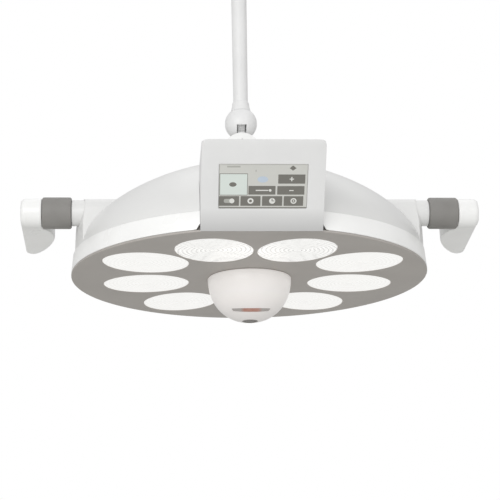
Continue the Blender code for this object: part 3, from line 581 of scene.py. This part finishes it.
# ---------------------------------------------------------------- drop tube and knuckle
def make_drop():
    low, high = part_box("drop_tube")
    sides = [(TUBE_TOP_RADIUS + (TUBE_FOOT_RADIUS - TUBE_TOP_RADIUS) * t, high.z + (low.z - high.z) * t)
             for t in (i / 12 for i in range(13))]
    tube = lathe("drop_tube_skin", [(TUBE_BORE, high.z), *sides, (TUBE_BORE, low.z)], 96)
    finish_piece(tube, COAT, "drop", "drop_tube")

    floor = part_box("knuckle_collar")[0].z
    top, foot, cable_hole = floor + 0.0140, floor + 0.0020, 0.0045
    bore = TUBE_FOOT_RADIUS + 0.0004
    collar = [(bore + 0.0004, top), (bore + 0.0010, floor + 0.0132), (bore + 0.0014, floor + 0.0115),
              (0.0122, floor + 0.0085), (0.0130, floor + 0.0050), (0.0140, floor + 0.0015), (0.0140, floor),
              (cable_hole, floor), (cable_hole, foot), (bore, foot), (bore, top)]
    flare = lathe("collar_flare", bend(collar, 0.0008), 96)
    finish_piece(flare, COAT, "drop", "knuckle_collar")

    edge = math.degrees(math.acos(BALL_CUT / BALL_RADIUS))
    skin = [(across, up) for up, across in arc(BALL_RADIUS, edge, 180.0, 48)[:-1]]
    profile = bend([(0.0, BALL_CUT), *skin, (0.0, -BALL_RADIUS)], 0.0004, closed=False)
    ball = put(lathe("knuckle_ball_shell", profile, 96, closed=False), BALL)
    mouth = arc(BALL_RADIUS + 0.0072, -90.0 - SLOT_REACH, -90.0 + SLOT_REACH, 24)
    round_hub = arc(HUB_CLEAR, -90.0 + SLOT_REACH, 270.0 - SLOT_REACH, 40)[1:-1]
    combine(ball, put(prism("slot", mouth + round_hub, -SLOT_HALF, SLOT_HALF), BALL, SIDE_ON))
    pin_bore(ball, BALL, ALONG_X, half=0.03)
    finish_piece(rim(ball, 0.0005, 2), COAT, "drop", "knuckle_ball")


def make_link():
    reach = PITCH_Z - ROLL_Z
    neck = 69.0                 # degrees below level where the neck leaves the hub
    outline = [*arc(TONGUE_RADIUS, -neck, 180.0 + neck, 48), (-NECK_HALF, -reach), (NECK_HALF, -reach)]
    knuckle = put(prism("link_tongue", outline, -TONGUE_HALF, TONGUE_HALF), BALL, SIDE_ON)
    barrel = prism("barrel", circle(BARREL_RADIUS, 72), -BARREL_HALF, BARREL_HALF)
    combine(knuckle, put(barrel, ROLL, ALONG_Y), "UNION")
    pin_bore(knuckle, ROLL, ALONG_Y)
    pin_bore(knuckle, BALL, ALONG_X)
    finish_piece(rim(knuckle, 0.0006, 2), COAT, "link", "knuckle_link")


def make_yoke():
    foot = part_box("yoke")[0].z
    low, high = HEAD.z + SADDLE_LOW, HEAD.z + SADDLE_HIGH
    radius, stem = 0.0380, 0.0250
    profile = bend([
        (0.0, high), (radius - 0.0040, high), (radius - 0.0008, high - 0.0018), (radius, low + 0.0012),
        (radius, low), (stem, low), (stem, foot), (0.0, foot)], 0.0010, closed=False)
    base = lathe("yoke_saddle", profile, 128, closed=False)
    drop = high - 0.0010 - ROLL_Z
    outline = [*arc(CHEEK_RADIUS, 0.0, 180.0, 64), (-CHEEK_RADIUS, drop), (CHEEK_RADIUS, drop)]
    for side in (-1, 1):
        near, far = sorted((-side * CHEEK_INNER, -side * CHEEK_OUTER))
        cheek = rim(prism("cheek", outline, near, far), 0.0012, 3, 50.0)
        combine(base, put(cheek, ROLL, (math.pi / 2, 0, 0)), "UNION")
    pin_bore(base, ROLL, ALONG_Y)
    screw_place = ROLL + Vector((0, 0, 0.0127))
    screw_bore = prism("screw_bore", circle(0.0022, 32), -CHEEK_OUTER - 0.0008, -CHEEK_OUTER + 0.0025)
    combine(base, put(screw_bore, screw_place, ALONG_Y))
    finish_piece(base, LEVER, "head", "yoke", 24.0)

    socket, head, shank = 0.0008, 0.0019, -0.0018
    profile = [(0.0, 0.0), (socket, 0.0), (0.0009, 0.0009), (0.0017, 0.0009), (head, 0.0006), (head, shank),
               (0.0, shank)]
    screw = lathe("yoke_screw_head", profile, 24, closed=False)
    put(screw, screw_place + Vector((0, 0.0004 - CHEEK_OUTER, 0)), (math.pi / 2, 0, 0))
    finish_piece(screw, BLACK, "head", "yoke_screw")


# ---------------------------------------------------------------- cover with its side fairings
def dome_profile(outer_radius, rise, floor):
    count = 44
    shares = [math.sin(math.pi / 2 * i / count) for i in range(count + 1)]
    return [(outer_radius * s,
             max(floor, COVER_SPRING + rise * (1.0 - s ** COVER_POWER) ** (1.0 / COVER_POWER)))
            for s in shares]


# radius and height of the turned face where the fairings end, leaning in towards the top
FAIRING_END = ((0.2300, 0.1100), (0.2347, 0.0955), (0.2367, 0.0850), (0.2382, 0.0760), (0.2398, 0.0670),
               (0.2408, 0.0576), (COVER_RADIUS, 0.0420))


def past_floor(inset):
    """How far a hollow runs past the floor of what it hollows."""
    return 0.001 if inset else 0.0


def boss_outline(inset):
    """A side fairing seen end on, or its hollow for a wall thickness inset: a round top on flared sides."""
    radius, half = BOSS_TOP_RADIUS - inset, BOSS_FOOT_HALF - inset
    floor = COVER_FLOOR - HANDLE.z + HEAD.z - past_floor(inset)
    sides = [(half - (half - radius) * t, floor * (1 - t)) for t in (0.0, 0.33, 0.66)]
    left = [(-x, z) for x, z in reversed(sides)]
    return [*sides, *arc(radius, 0.0, 180.0, 36), *left]


def boss(name, side, inset, start):
    """A side fairing or its hollow: the outline run outward along X, then trimmed by the turned face."""
    near, far = sorted((side * start, side * 0.2600))
    block = put(prism(name, boss_outline(inset), near, far), HANDLE, SIDE_ON)
    floor, top = COVER_FLOOR - past_floor(inset), FAIRING_END[0][1]
    face = [(radius - inset, height) for radius, height in FAIRING_END]
    limit = [(0.0, top), *face, (COVER_RADIUS - inset, floor), (0.0, floor)]
    return combine(block, put(lathe("limit", limit, 192, closed=False), HEAD), "INTERSECT")


def make_cover():
    outer = dome_profile(COVER_RADIUS, COVER_RISE, COVER_FLOOR)
    cover = put(lathe("cover_shell", [*outer, (0.0, COVER_FLOOR)], 192, closed=False), HEAD)
    for side in (-1, 1):
        combine(cover, boss("fairing", side, 0.0, 0.1200), "UNION")
    floor = COVER_FLOOR - past_floor(WALL)
    inner = dome_profile(COVER_RADIUS - WALL, COVER_RISE - WALL, floor)
    combine(cover, put(lathe("cavity", [*inner, (0.0, floor)], 128, closed=False), HEAD))
    for side in (-1, 1):
        combine(cover, boss("hollow", side, WALL, 0.1500))
        hole = prism("spigot_hole", circle(STUB_RADIUS + GAP, 96), 0.15, 0.26)
        combine(cover, put(hole, HANDLE, (0, side * math.pi / 2, 0)))
    half = PANEL_HALF + GAP
    notch = rectangle(PANEL_X - half, PANEL_X + half, -0.27, PANEL_BACK_Y + GAP)
    combine(cover, put(prism("notch", notch, 0.0, 0.2), HEAD))
    combine(cover, put(prism("hub_hole", circle(0.0253, 96), 0.10, 0.20), (0, 0, HEAD.z)))
    finish_piece(cover, HOUSING, "head", "cover", 24.0)


def make_band():
    """The bright band, swept round the plate, with its lower corners rounded off beside the panel."""
    corners = [(PLATE_RADIUS, BAND_FOOT), (BAND_TOP_RADIUS, BAND_TOP), (BAND_TOP_RADIUS - WALL, BAND_TOP),
               (PLATE_RADIUS - 0.0034, BAND_FOOT)]
    section = bend(corners, 0.0009, segments=3)
    half = PANEL_HALF + GAP
    steps = 300
    loops = []
    for share in (s / steps for s in range(steps + 1)):
        loop = []
        for radius, height in section:
            first = math.asin((half - PANEL_X) / radius)
            last = 2 * math.pi - math.asin((half + PANEL_X) / radius)
            turn = first + (last - first) * share
            run = min(share, 1 - share) * (last - first) * radius
            lift = BAND_CORNER - math.sqrt(BAND_CORNER ** 2 - max(0.0, BAND_CORNER - run) ** 2)
            raised = BAND_FOOT + lift
            z = raised + (height - BAND_FOOT) * (BAND_TOP - raised) / (BAND_TOP - BAND_FOOT)
            loop.append((-radius * math.sin(turn), -radius * math.cos(turn), z))
        loops.append(loop)
    band = put(stack("rim_band_skin", loops), HEAD)
    finish_piece(band, BAND, "head", "rim_band", 40.0)


# ---------------------------------------------------------------- face plate and lenses
def lens_places():
    for distance, angle in LENS_PAIRS:
        for side in (-1, 1):
            turn = math.radians(angle)
            yield Vector((side * math.sin(turn) * distance, -math.cos(turn) * distance, 0)), side * turn


def oval(radial, tangential, count=96):
    return [(tangential * math.cos(t), radial * math.sin(t))
            for t in (2 * math.pi * i / count for i in range(count))]


def make_face():
    edge = bend([(0.0, PLATE_THICKNESS), (PLATE_RADIUS - 0.0004, PLATE_THICKNESS), (PLATE_RADIUS, 0.0022),
                 (PLATE_RADIUS, 0.0008), (PLATE_RADIUS - 0.0008, 0.0), (0.0, 0.0)], 0.0005, closed=False)
    plate = put(lathe("face_plate_disc", edge, 256, closed=False), HEAD)
    chord = rectangle(-0.30, 0.30, -0.30, PLATE_CHORD_Y)
    combine(plate, put(prism("chord", chord, -0.01, 0.01), HEAD))
    flare = ((0.0012, 0.0), (0.0008, 0.25), (0.0, 0.31), (0.0, 1.0))
    for centre, turn in lens_places():
        hole = prism("opening", oval(LENS_RADIAL, LENS_TANGENTIAL), -0.0030, 0.0090, flare)
        combine(plate, put(hole, HEAD + centre, (0, 0, turn)))
    combine(plate, put(prism("core_hole", circle(CORE_HOLE, 96), -0.01, 0.01), HEAD))
    finish_piece(plate, TAUPE, "head", "face_plate", 30.0)
    for number, (centre, turn) in enumerate(lens_places(), 1):
        # the pair beside the panel gets deeper grooves and darker painted shade in them, the rest get
        # shallower grooves and fainter painted shade, so they look milky
        surface, depth = (LENS, 0.00045) if number < 3 else (LENS_FAINT, 0.00012)
        lens = put(lens_mesh(f"fresnel_lens_{number}", depth), HEAD + centre, (0, 0, turn))
        finish_piece(lens, surface, "head", f"lens_{number}", 20.0)


def lens_mesh(name, depth):
    """A flat oval lens with stepped grooves cut into its lower face."""
    radial, tangential = LENS_RADIAL - GAP, LENS_TANGENTIAL - GAP
    low, high = 0.0008, 0.0056
    grooved = 0.97              # share of the radius that has grooves
    size = grooved / LENS_GROOVES
    shares = [(0.0, 0.0)]
    for k in range(LENS_GROOVES):
        start = k / LENS_GROOVES * grooved
        shares += [(start + size * 0.82, depth * 0.5 * k / LENS_GROOVES), (start + size * 0.90, depth),
                   (start + size, 0.0)]
    shares += [(0.985, 0.0), (1.0, 0.0006)]
    count = 96
    points, faces = [(0.0, 0.0, low)], []
    for share, lift in shares[1:]:
        points += [(x * share, y * share, low + lift) for x, y in oval(radial, tangential, count)]
    rings = len(shares) - 1
    points += [(x, y, high) for x, y in oval(radial, tangential, count)]
    points.append((0.0, 0.0, high))
    for i in range(count):
        j = (i + 1) % count
        faces.append([0, 1 + j, 1 + i])
        for ring in range(rings):
            a = 1 + ring * count
            faces.append([a + i, a + j, a + count + j, a + count + i])
        a = 1 + rings * count
        faces.append([a + i, a + j, len(points) - 1])
    return raw(name, points, faces)


# ---------------------------------------------------------------- control panel
FACE_DOWN = (math.sin(PANEL_LEAN), -math.cos(PANEL_LEAN))      # down the face, in (y, height)
FACE_OUT = (-math.cos(PANEL_LEAN), -math.sin(PANEL_LEAN))      # out of the face, in (y, height)
PANEL_FOOT = (-0.2348, 0.0004)
FOOT_BEND_H = 0.0120                                           # where the face starts to curve under


def face_point(down, inward=0.0):
    return tuple(PANEL_TOP[k] + FACE_DOWN[k] * down - FACE_OUT[k] * inward for k in (0, 1))


def panel_section(inset):
    """Side outline of the panel housing in (y, height), or of its hollow for a wall thickness inset."""
    length = (PANEL_TOP[1] - FOOT_BEND_H) / math.cos(PANEL_LEAN)
    foot = (PANEL_FOOT[0] + inset * 0.2, PANEL_FOOT[1] + inset)
    ends = tuple(zip(face_point(length, inset), face_point(length + 0.0125, inset), foot))
    bottom = [tuple(quadratic(*along, i / 12) for along in ends) for i in range(13)]
    back, floor = PANEL_BACK_Y - inset, PLATE_THICKNESS + GAP + inset
    low_back = [(back, floor + 0.0040)]
    if inset:
        mouth = PANEL_BACK_Y + 0.010
        low_back = [(mouth, floor + 0.0040), (mouth, PANEL_MOUTH_H), (back, PANEL_MOUTH_H)]
    top_front, top_back = face_point(inset * 2.05, inset), (-0.2990, 0.0950 - inset)
    return [top_front, *bottom, (foot[0] + GAP, floor), *low_back, (back, 0.0940 - inset), top_back]


def panel_front(grow=0.0, corner=0.0090):
    """Outline of the housing seen square on: nearly parallel sides and rounded upper corners."""
    low, half = -0.20, PANEL_HALF + grow
    taper = 0.0004
    right = [(half - taper - corner + corner * math.sin(t), grow - corner + corner * math.cos(t))
             for t in (math.pi / 2 * i / 10 for i in range(11))]
    left = [(-x, y) for x, y in right]
    return [(-half, low), (half, low), (half, -PANEL_LENGTH), *reversed(right), *left, (-half, -PANEL_LENGTH)]


def make_panel():
    side = Vector((HEAD.x + PANEL_X, 0, HEAD.z))
    place = side + Vector((0, *face_point(0.0)))
    tilt = (math.pi / 2 + PANEL_LEAN, 0, 0)

    def body(name, front_name, inset, front):
        """The side outline run across the panel, then trimmed by the outline seen square on."""
        half = PANEL_HALF - inset
        made = put(prism(name, panel_section(inset), -half, half), side, SIDE_ON)
        return combine(made, put(prism(front_name, front, -0.20, 0.02), place, tilt), "INTERSECT")

    housing = rim(body("panel_case", "front_outline", 0.0, panel_front()), 0.0016, 4, 30.0)
    combine(housing, body("hollow", "inner_outline", WALL, panel_front(-WALL, 0.0075)))
    half_w, half_h = SCREEN_W / 2, SCREEN_H / 2
    middle = SCREEN_FROM_TOP + half_h
    window = [(x, y - middle) for x, y in bend(rectangle(-half_w, half_w, -half_h, half_h), 0.0012)]
    flare = ((0.0, 0.0), (0.0, 0.46), (0.0006, 0.50), (0.0012, 1.0))
    combine(housing, put(prism("window", window, -0.0100, 0.0100, flare), place, tilt))
    finish_piece(housing, PANEL, "head", "panel_housing", 25.0)

    centre = side + Vector((0, *face_point(middle)))
    outline = bend(rectangle(GAP - half_w, half_w - GAP, GAP - half_h, half_h - GAP), 0.0010)
    edge = ((0.0, 0.0), (0.0, 0.9), (-0.0002, 1.0))
    glass = put(prism("touch_glass_sheet", outline, -0.0026, -0.0011, edge), centre, tilt)
    finish_piece(glass, GLASS, "head", "touch_glass")
    finish_piece(put(screen_graphics(), centre, tilt),
                 [TILE, BUTTON, SYMBOL, BLUE, FAINT], "head", None)


def screen_graphics():
    """The controls shown on the screen: thin inlays that stand just proud of the glass.

    Places are shares of the screen's width and height, from its upper left corner.
    """
    points, faces, paints = [], [], []
    level, depth = -0.00105, 0.0001
    flush, raised, higher, highest = 0.00003, 0.00006, 0.00009, 0.00012
    crossing = 0.00001          # keeps two strokes that cross from sharing a surface
    green, dark, pale, blue, faint = range(5)

    def inlay(outline, paint, lift):
        first = len(points)
        count = len(outline)
        points.extend((x, y, level - depth) for x, y in outline)
        points.extend((x, y, level + lift) for x, y in outline)
        faces.append([first + count - 1 - i for i in range(count)])
        faces.append([first + count + i for i in range(count)])
        faces.extend([first + i, first + (i + 1) % count, first + count + (i + 1) % count, first + count + i]
                     for i in range(count))
        paints.extend([paint] * (count + 2))

    def spot(u, v):
        return ((u - 0.5) * SCREEN_W, (0.5 - v) * SCREEN_H)

    def tile(u0, v0, u1, v1, paint, radius=0.0006, lift=flush):
        (x0, y1), (x1, y0) = spot(u0, v0), spot(u1, v1)
        inlay(bend(rectangle(x0, x1, y0, y1), radius), paint, lift)

    def disc(u, v, radius, paint, lift, flat=1.0):
        x, y = spot(u, v)
        inlay([(x + a, y + b * flat) for a, b in circle(radius, 32)], paint, lift)

    # header: a plain bar and a diamond
    tile(0.09, 0.045, 0.24, 0.080, faint)
    x, y = spot(0.83, 0.095)
    inlay([(x + a, y + b) for a, b in ((-0.0042, 0), (0, -0.0032), (0.0042, 0), (0, 0.0036))], dark, flush)

    # framed field with a rounded mark
    tile(0.008, 0.215, 0.325, 0.705, dark)
    tile(0.014, 0.227, 0.319, 0.693, green, 0.0004, raised)
    x, y = spot(0.158, 0.46)
    inlay([(x + 0.0046 * math.cos(t), y + 0.0030 * math.sin(t) * abs(math.sin(t)) ** 0.2)
           for t in (2 * math.pi * i / 32 for i in range(32))], dark, higher)

    # middle: a blue spot, a tick and a slider
    disc(0.494, 0.347, 0.0066, blue, flush, 0.62)
    tile(0.410, 0.130, 0.420, 0.180, faint)
    tile(0.335, 0.492, 0.640, 0.688, dark)
    tile(0.417, 0.580, 0.560, 0.604, pale, 0.0004, raised)
    disc(0.580, 0.592, 0.0017, pale, raised)

    # plus and minus
    tile(0.667, 0.235, 0.972, 0.440, dark)
    tile(0.795, 0.328, 0.845, 0.348, pale, 0.0001, raised)
    tile(0.8135, 0.290, 0.8265, 0.386, pale, 0.0001, raised + crossing)
    tile(0.660, 0.495, 0.967, 0.688, dark)
    tile(0.795, 0.585, 0.845, 0.605, pale, 0.0001, raised)

    # bottom row: four buttons with a switch, a ring, a clock and a target, over a thin dark bar that is a
    # painted shadow of the screen's recess
    for left, right in ((0.004, 0.232), (0.248, 0.474), (0.492, 0.720), (0.737, 0.958)):
        tile(left, 0.722, right, 0.942, dark)
    tile(0.060, 0.785, 0.175, 0.875, faint, 0.0026, raised)
    disc(0.150, 0.830, 0.0032, pale, higher)
    for across in (0.361, 0.606, 0.848):
        disc(across, 0.830, 0.0038, pale, raised)
    disc(0.361, 0.830, 0.0018, dark, higher)
    tile(0.600, 0.780, 0.609, 0.835, dark, 0.0001, higher)
    tile(0.600, 0.822, 0.632, 0.836, dark, 0.0001, higher + crossing)
    disc(0.848, 0.830, 0.0022, dark, higher)
    disc(0.848, 0.830, 0.0010, pale, highest)
    # a dark strip along the screen's lower edge: painted shadow of the recess wall
    tile(0.004, 0.972, 0.996, 0.996, dark, 0.0003, raised)

    mesh = bpy.data.meshes.new("screen_graphics")
    mesh.from_pydata(points, [], faces)
    mesh.polygons.foreach_set("material_index", paints)
    return link("screen_graphics", mesh)


# ---------------------------------------------------------------- side handles
def make_handle(side, word):
    turn = (0, side * math.pi / 2, 0)
    root, stub_end, tip = 0.2080, 0.2423, 0.3000
    groove, notch = 0.0064, (0.2930, 0.2955)
    spigot = lathe(f"spigot_{word}", bend([
        (0.0, tip), (SHAFT_RADIUS - 0.0012, tip), (SHAFT_RADIUS, tip - 0.0012), (SHAFT_RADIUS, notch[1]),
        (groove, notch[1]), (groove, notch[0]), (SHAFT_RADIUS, notch[0]), (SHAFT_RADIUS, stub_end),
        (STUB_RADIUS - 0.0008, stub_end), (STUB_RADIUS, stub_end - 0.0008), (STUB_RADIUS, root), (0.0, root)],
        0.0003, closed=False), 96, closed=False)
    finish_piece(put(spigot, HANDLE, turn), HOUSING, "head", f"handle_spigot_{word}")

    bore = SHAFT_RADIUS + GAP
    shoulder = [(RING_RADIUS - 0.0016, 0.0), (RING_RADIUS - 0.0002, 0.0012), (RING_RADIUS, 0.0030)]
    ring = lathe(f"grip_{word}", bend([
        (bore, RING_END), *((r, RING_END - along) for r, along in shoulder),
        *((r, RING_START + along) for r, along in reversed(shoulder)), (bore, RING_START)], 0.0006), 128)
    finish_piece(put(ring, HANDLE, turn), GRIP, "head", f"grip_ring_{word}")
    make_lever(side, word, turn)


def lever_plan():
    """Outline of the grip from above: x outward from the elbow's inner face, y back from the axis."""
    width, reach, front = 0.0284, 0.115, -0.0100
    belly, waist = 0.0145, 0.052            # how far the grip swells inward, and where
    shoulder, corner_radius = RING_RADIUS + 0.0010, 0.010
    inner_power, tip_power = 1.25, 1.35
    quarter = [math.pi / 2 * i / 16 for i in range(17)]
    inner = [(-belly * math.sin(a) ** inner_power,
              shoulder + (waist - shoulder) * (1 - math.cos(a) ** inner_power)) for a in quarter]
    tip = [(-belly + (belly + width - corner_radius) * (1 - math.cos(a) ** tip_power),
            waist + (reach - waist) * math.sin(a) ** tip_power) for a in quarter[1:]]
    corner = [(width - corner_radius * (1 - math.sin(a)), reach - corner_radius * (1 - math.cos(a)))
              for a in quarter[2::2]]
    return [(0.0, front), *inner, *tip, *corner, (width, front)]


def make_lever(side, word, turn):
    """Elbow and grip in one soft moulding: joined, remeshed and relaxed."""
    elbow = put(lathe(f"lever_{word}", [
        (0.0, LEVER_END), (ELBOW_RADIUS - 0.0060, LEVER_END), (ELBOW_RADIUS - 0.0030, LEVER_END - 0.0008),
        (ELBOW_RADIUS - 0.0008, LEVER_END - 0.0030), (ELBOW_RADIUS, LEVER_END - 0.0060),
        (ELBOW_RADIUS, LEVER_START), (0.0, LEVER_START)], 96, closed=False), HANDLE, turn)
    plan = [(side * (LEVER_START + x), y) for x, y in lever_plan()]
    grip = put(prism("grip", plan, -0.0150, 0.0140), HANDLE, (-LEVER_DROP, 0.0, 0.0))
    combine(elbow, grip, "UNION")
    remesh = elbow.modifiers.new("even", "REMESH")
    remesh.mode = "VOXEL"
    remesh.voxel_size = 0.0009
    relax = elbow.modifiers.new("relax", "SMOOTH")
    relax.factor = 0.5
    relax.iterations = 14
    settle(elbow)
    combine(elbow, put(prism("socket", circle(0.0085, 64), 0.27, 0.301), HANDLE, turn))
    finish_piece(elbow, LEVER, f"{word}_handle", f"handle_lever_{word}", 50.0)


# ---------------------------------------------------------------- centre dome
def bowl(depth, radius=DOME_RADIUS, full_depth=DOME_DEPTH):
    """Radius of the bowl at a depth below the plate."""
    return radius * (1.0 - (depth / full_depth) ** DOME_POWER) ** (1.0 / DOME_POWER)


def bowl_profile(radius, full_depth, top, count):
    depths = [full_depth * math.sin(math.pi / 2 * i / count) for i in range(1, count)]
    return [(radius, top), *((bowl(d, radius, full_depth), -d) for d in depths), (0.0, -full_depth)]


def window_mesh(name, grow, inward, outward):
    """A strip of the bowl's wall round the panel side, as high as the window, narrower at its ends."""
    step = 0.001
    window_radius = 0.032
    steps = 48
    span = WINDOW_HALF_SPAN + math.degrees(grow / window_radius)
    loops = []
    for share in (-1 + 2 * s / steps for s in range(steps + 1)):
        turn = math.radians(-90 + span * share)
        middle = WINDOW_DEPTH - WINDOW_RISE * share ** 2
        run = Vector((bowl(middle + step) - bowl(middle - step), -2 * step)).normalized()
        out = Vector((-run.y, run.x))
        base = Vector((bowl(middle), -middle))
        reach = WINDOW_HALF_HEIGHT * (1 - WINDOW_TAPER * abs(share) ** 2.5) + grow
        section = [base + run * a + out * o
                   for a, o in ((-reach, outward), (reach, outward), (reach, -inward), (-reach, -inward))]
        loops.append([(p.x * math.cos(turn), p.x * math.sin(turn), p.y) for p in section])
    return stack(name, loops)


def make_dome():
    top, edge = -0.0006, 0.0006
    outer = bowl_profile(DOME_RADIUS, DOME_DEPTH, top - 0.0008, 48)
    inner = bowl_profile(DOME_RADIUS - DOME_WALL, DOME_DEPTH - DOME_WALL, top, 32)
    profile = [*reversed(inner), (DOME_RADIUS - edge, top), *outer]
    shell = put(lathe("sensor_dome_shell", profile, 160, closed=False), HEAD)
    combine(shell, put(window_mesh("opening", GAP, 0.0060, 0.0040), HEAD))
    combine(shell, put(prism("lens_hole", circle(DOME_LENS_RADIUS + GAP, 72), -0.070, -0.050), HEAD))
    finish_piece(shell, DOME, "dome", "dome_shell", 24.0)
    window = put(window_mesh("sensor_window_strip", 0.0, 0.0017, -0.0004), HEAD)
    finish_piece(window, WINDOW, "dome", "sensor_window")
    low = -DOME_DEPTH + 0.0010
    lens = lathe("dome_lens_disc", [
        (0.0, low + 0.0025), (DOME_LENS_RADIUS, low + 0.0025), (DOME_LENS_RADIUS, low + 0.0008),
        (0.0102, low + 0.0002), (0.0094, low), (0.0090, low + 0.0006), (0.0060, low + 0.0001),
        (0.0, low - 0.0004)], 96, closed=False)
    finish_piece(put(lens, HEAD), DARK, "dome", "dome_lens")


# ---------------------------------------------------------------- studio
def area_light(name, offset, size, power):
    """A soft lamp aimed at the middle of the head."""
    middle = HEAD + Vector((0, 0, 0.05))
    light = bpy.data.lights.new(name, "AREA")
    light.shape = "RECTANGLE"
    light.size, light.size_y = size
    light.energy = power
    made = link(name, light)
    made.location = middle + Vector(offset)
    made.rotation_euler = (middle - made.location).to_track_quat("-Z", "Y").to_euler()


def make_world():
    """Even light on the object, with a white backdrop for the camera."""
    world = bpy.data.worlds.new("studio")
    world.use_nodes = True
    bpy.context.scene.world = world
    tree = world.node_tree
    sky = tree.nodes["Background"]
    seen = tree.nodes.new("ShaderNodeBackground")
    for background, strength in ((sky, AMBIENT), (seen, 1.0)):
        background.inputs["Color"].default_value = (1, 1, 1, 1)
        background.inputs["Strength"].default_value = strength
    path = tree.nodes.new("ShaderNodeLightPath")
    mix = tree.nodes.new("ShaderNodeMixShader")
    tree.links.new(path.outputs["Is Camera Ray"], mix.inputs[0])
    tree.links.new(sky.outputs[0], mix.inputs[1])
    tree.links.new(seen.outputs[0], mix.inputs[2])
    tree.links.new(mix.outputs[0], tree.nodes["World Output"].inputs["Surface"])


def make_studio():
    scene = bpy.context.scene
    scene.view_settings.view_transform = "Standard"
    scene.view_settings.look = "None"
    make_world()
    corners = [(x, y, FLOOR_Z) for x, y in rectangle(-FLOOR_HALF, FLOOR_HALF, -FLOOR_HALF, FLOOR_HALF)]
    floor = raw("floor", corners, [[0, 1, 2, 3]])
    paint = Surface("floor_paint", srgb(224, 224, 222), 0.8)
    paint.use("Base Color", paint.blend(paint.noise(2.0, 4.0), srgb(222, 222, 220), srgb(227, 227, 225)))
    floor.data.materials.append(paint.material)
    area_light("key", (-1.2, -2.9, 0.5), (2.2, 1.6), KEY)
    area_light("fill", (1.8, -2.4, 0.2), (1.8, 1.6), FILL)
    area_light("top", (0.3, 0.8, 2.4), (2.4, 2.4), TOP)


def make_camera():
    """Seen from a little below the face plate, slightly from the left, through a long lens."""
    distance, below, aside = 9.0 * PLATE_RADIUS, math.radians(14.32), math.radians(-3.63)
    up_tilt, pan, roll = math.radians(15.34), math.radians(3.674), math.radians(-1.04)
    data = bpy.data.cameras.new("camera")
    data.sensor_width = 36.0
    data.lens = 114.7
    data.clip_start, data.clip_end = 0.05, 50.0
    camera = link("camera", data)
    place = HEAD + Vector((math.cos(below) * math.sin(aside), -math.cos(below) * math.cos(aside),
                           -math.sin(below))) * distance
    ahead = Vector((math.sin(pan) * math.cos(up_tilt), math.cos(pan) * math.cos(up_tilt), math.sin(up_tilt)))
    level = Vector((math.cos(pan), -math.sin(pan), 0))
    above = level.cross(ahead)
    right = level * math.cos(roll) + above * math.sin(roll)
    up = above * math.cos(roll) - level * math.sin(roll)
    camera.matrix_world = Matrix.Translation(place) @ Matrix((right, up, -ahead)).transposed().to_4x4()
    bpy.context.scene.camera = camera


make_camera()
make_flange()
make_canopy()
make_drop()
make_link()
make_yoke()
make_cover()
make_band()
make_face()
make_panel()
for handle_side, handle_word in ((-1, "left"), (1, "right")):
    make_handle(handle_side, handle_word)
make_dome()
make_studio()
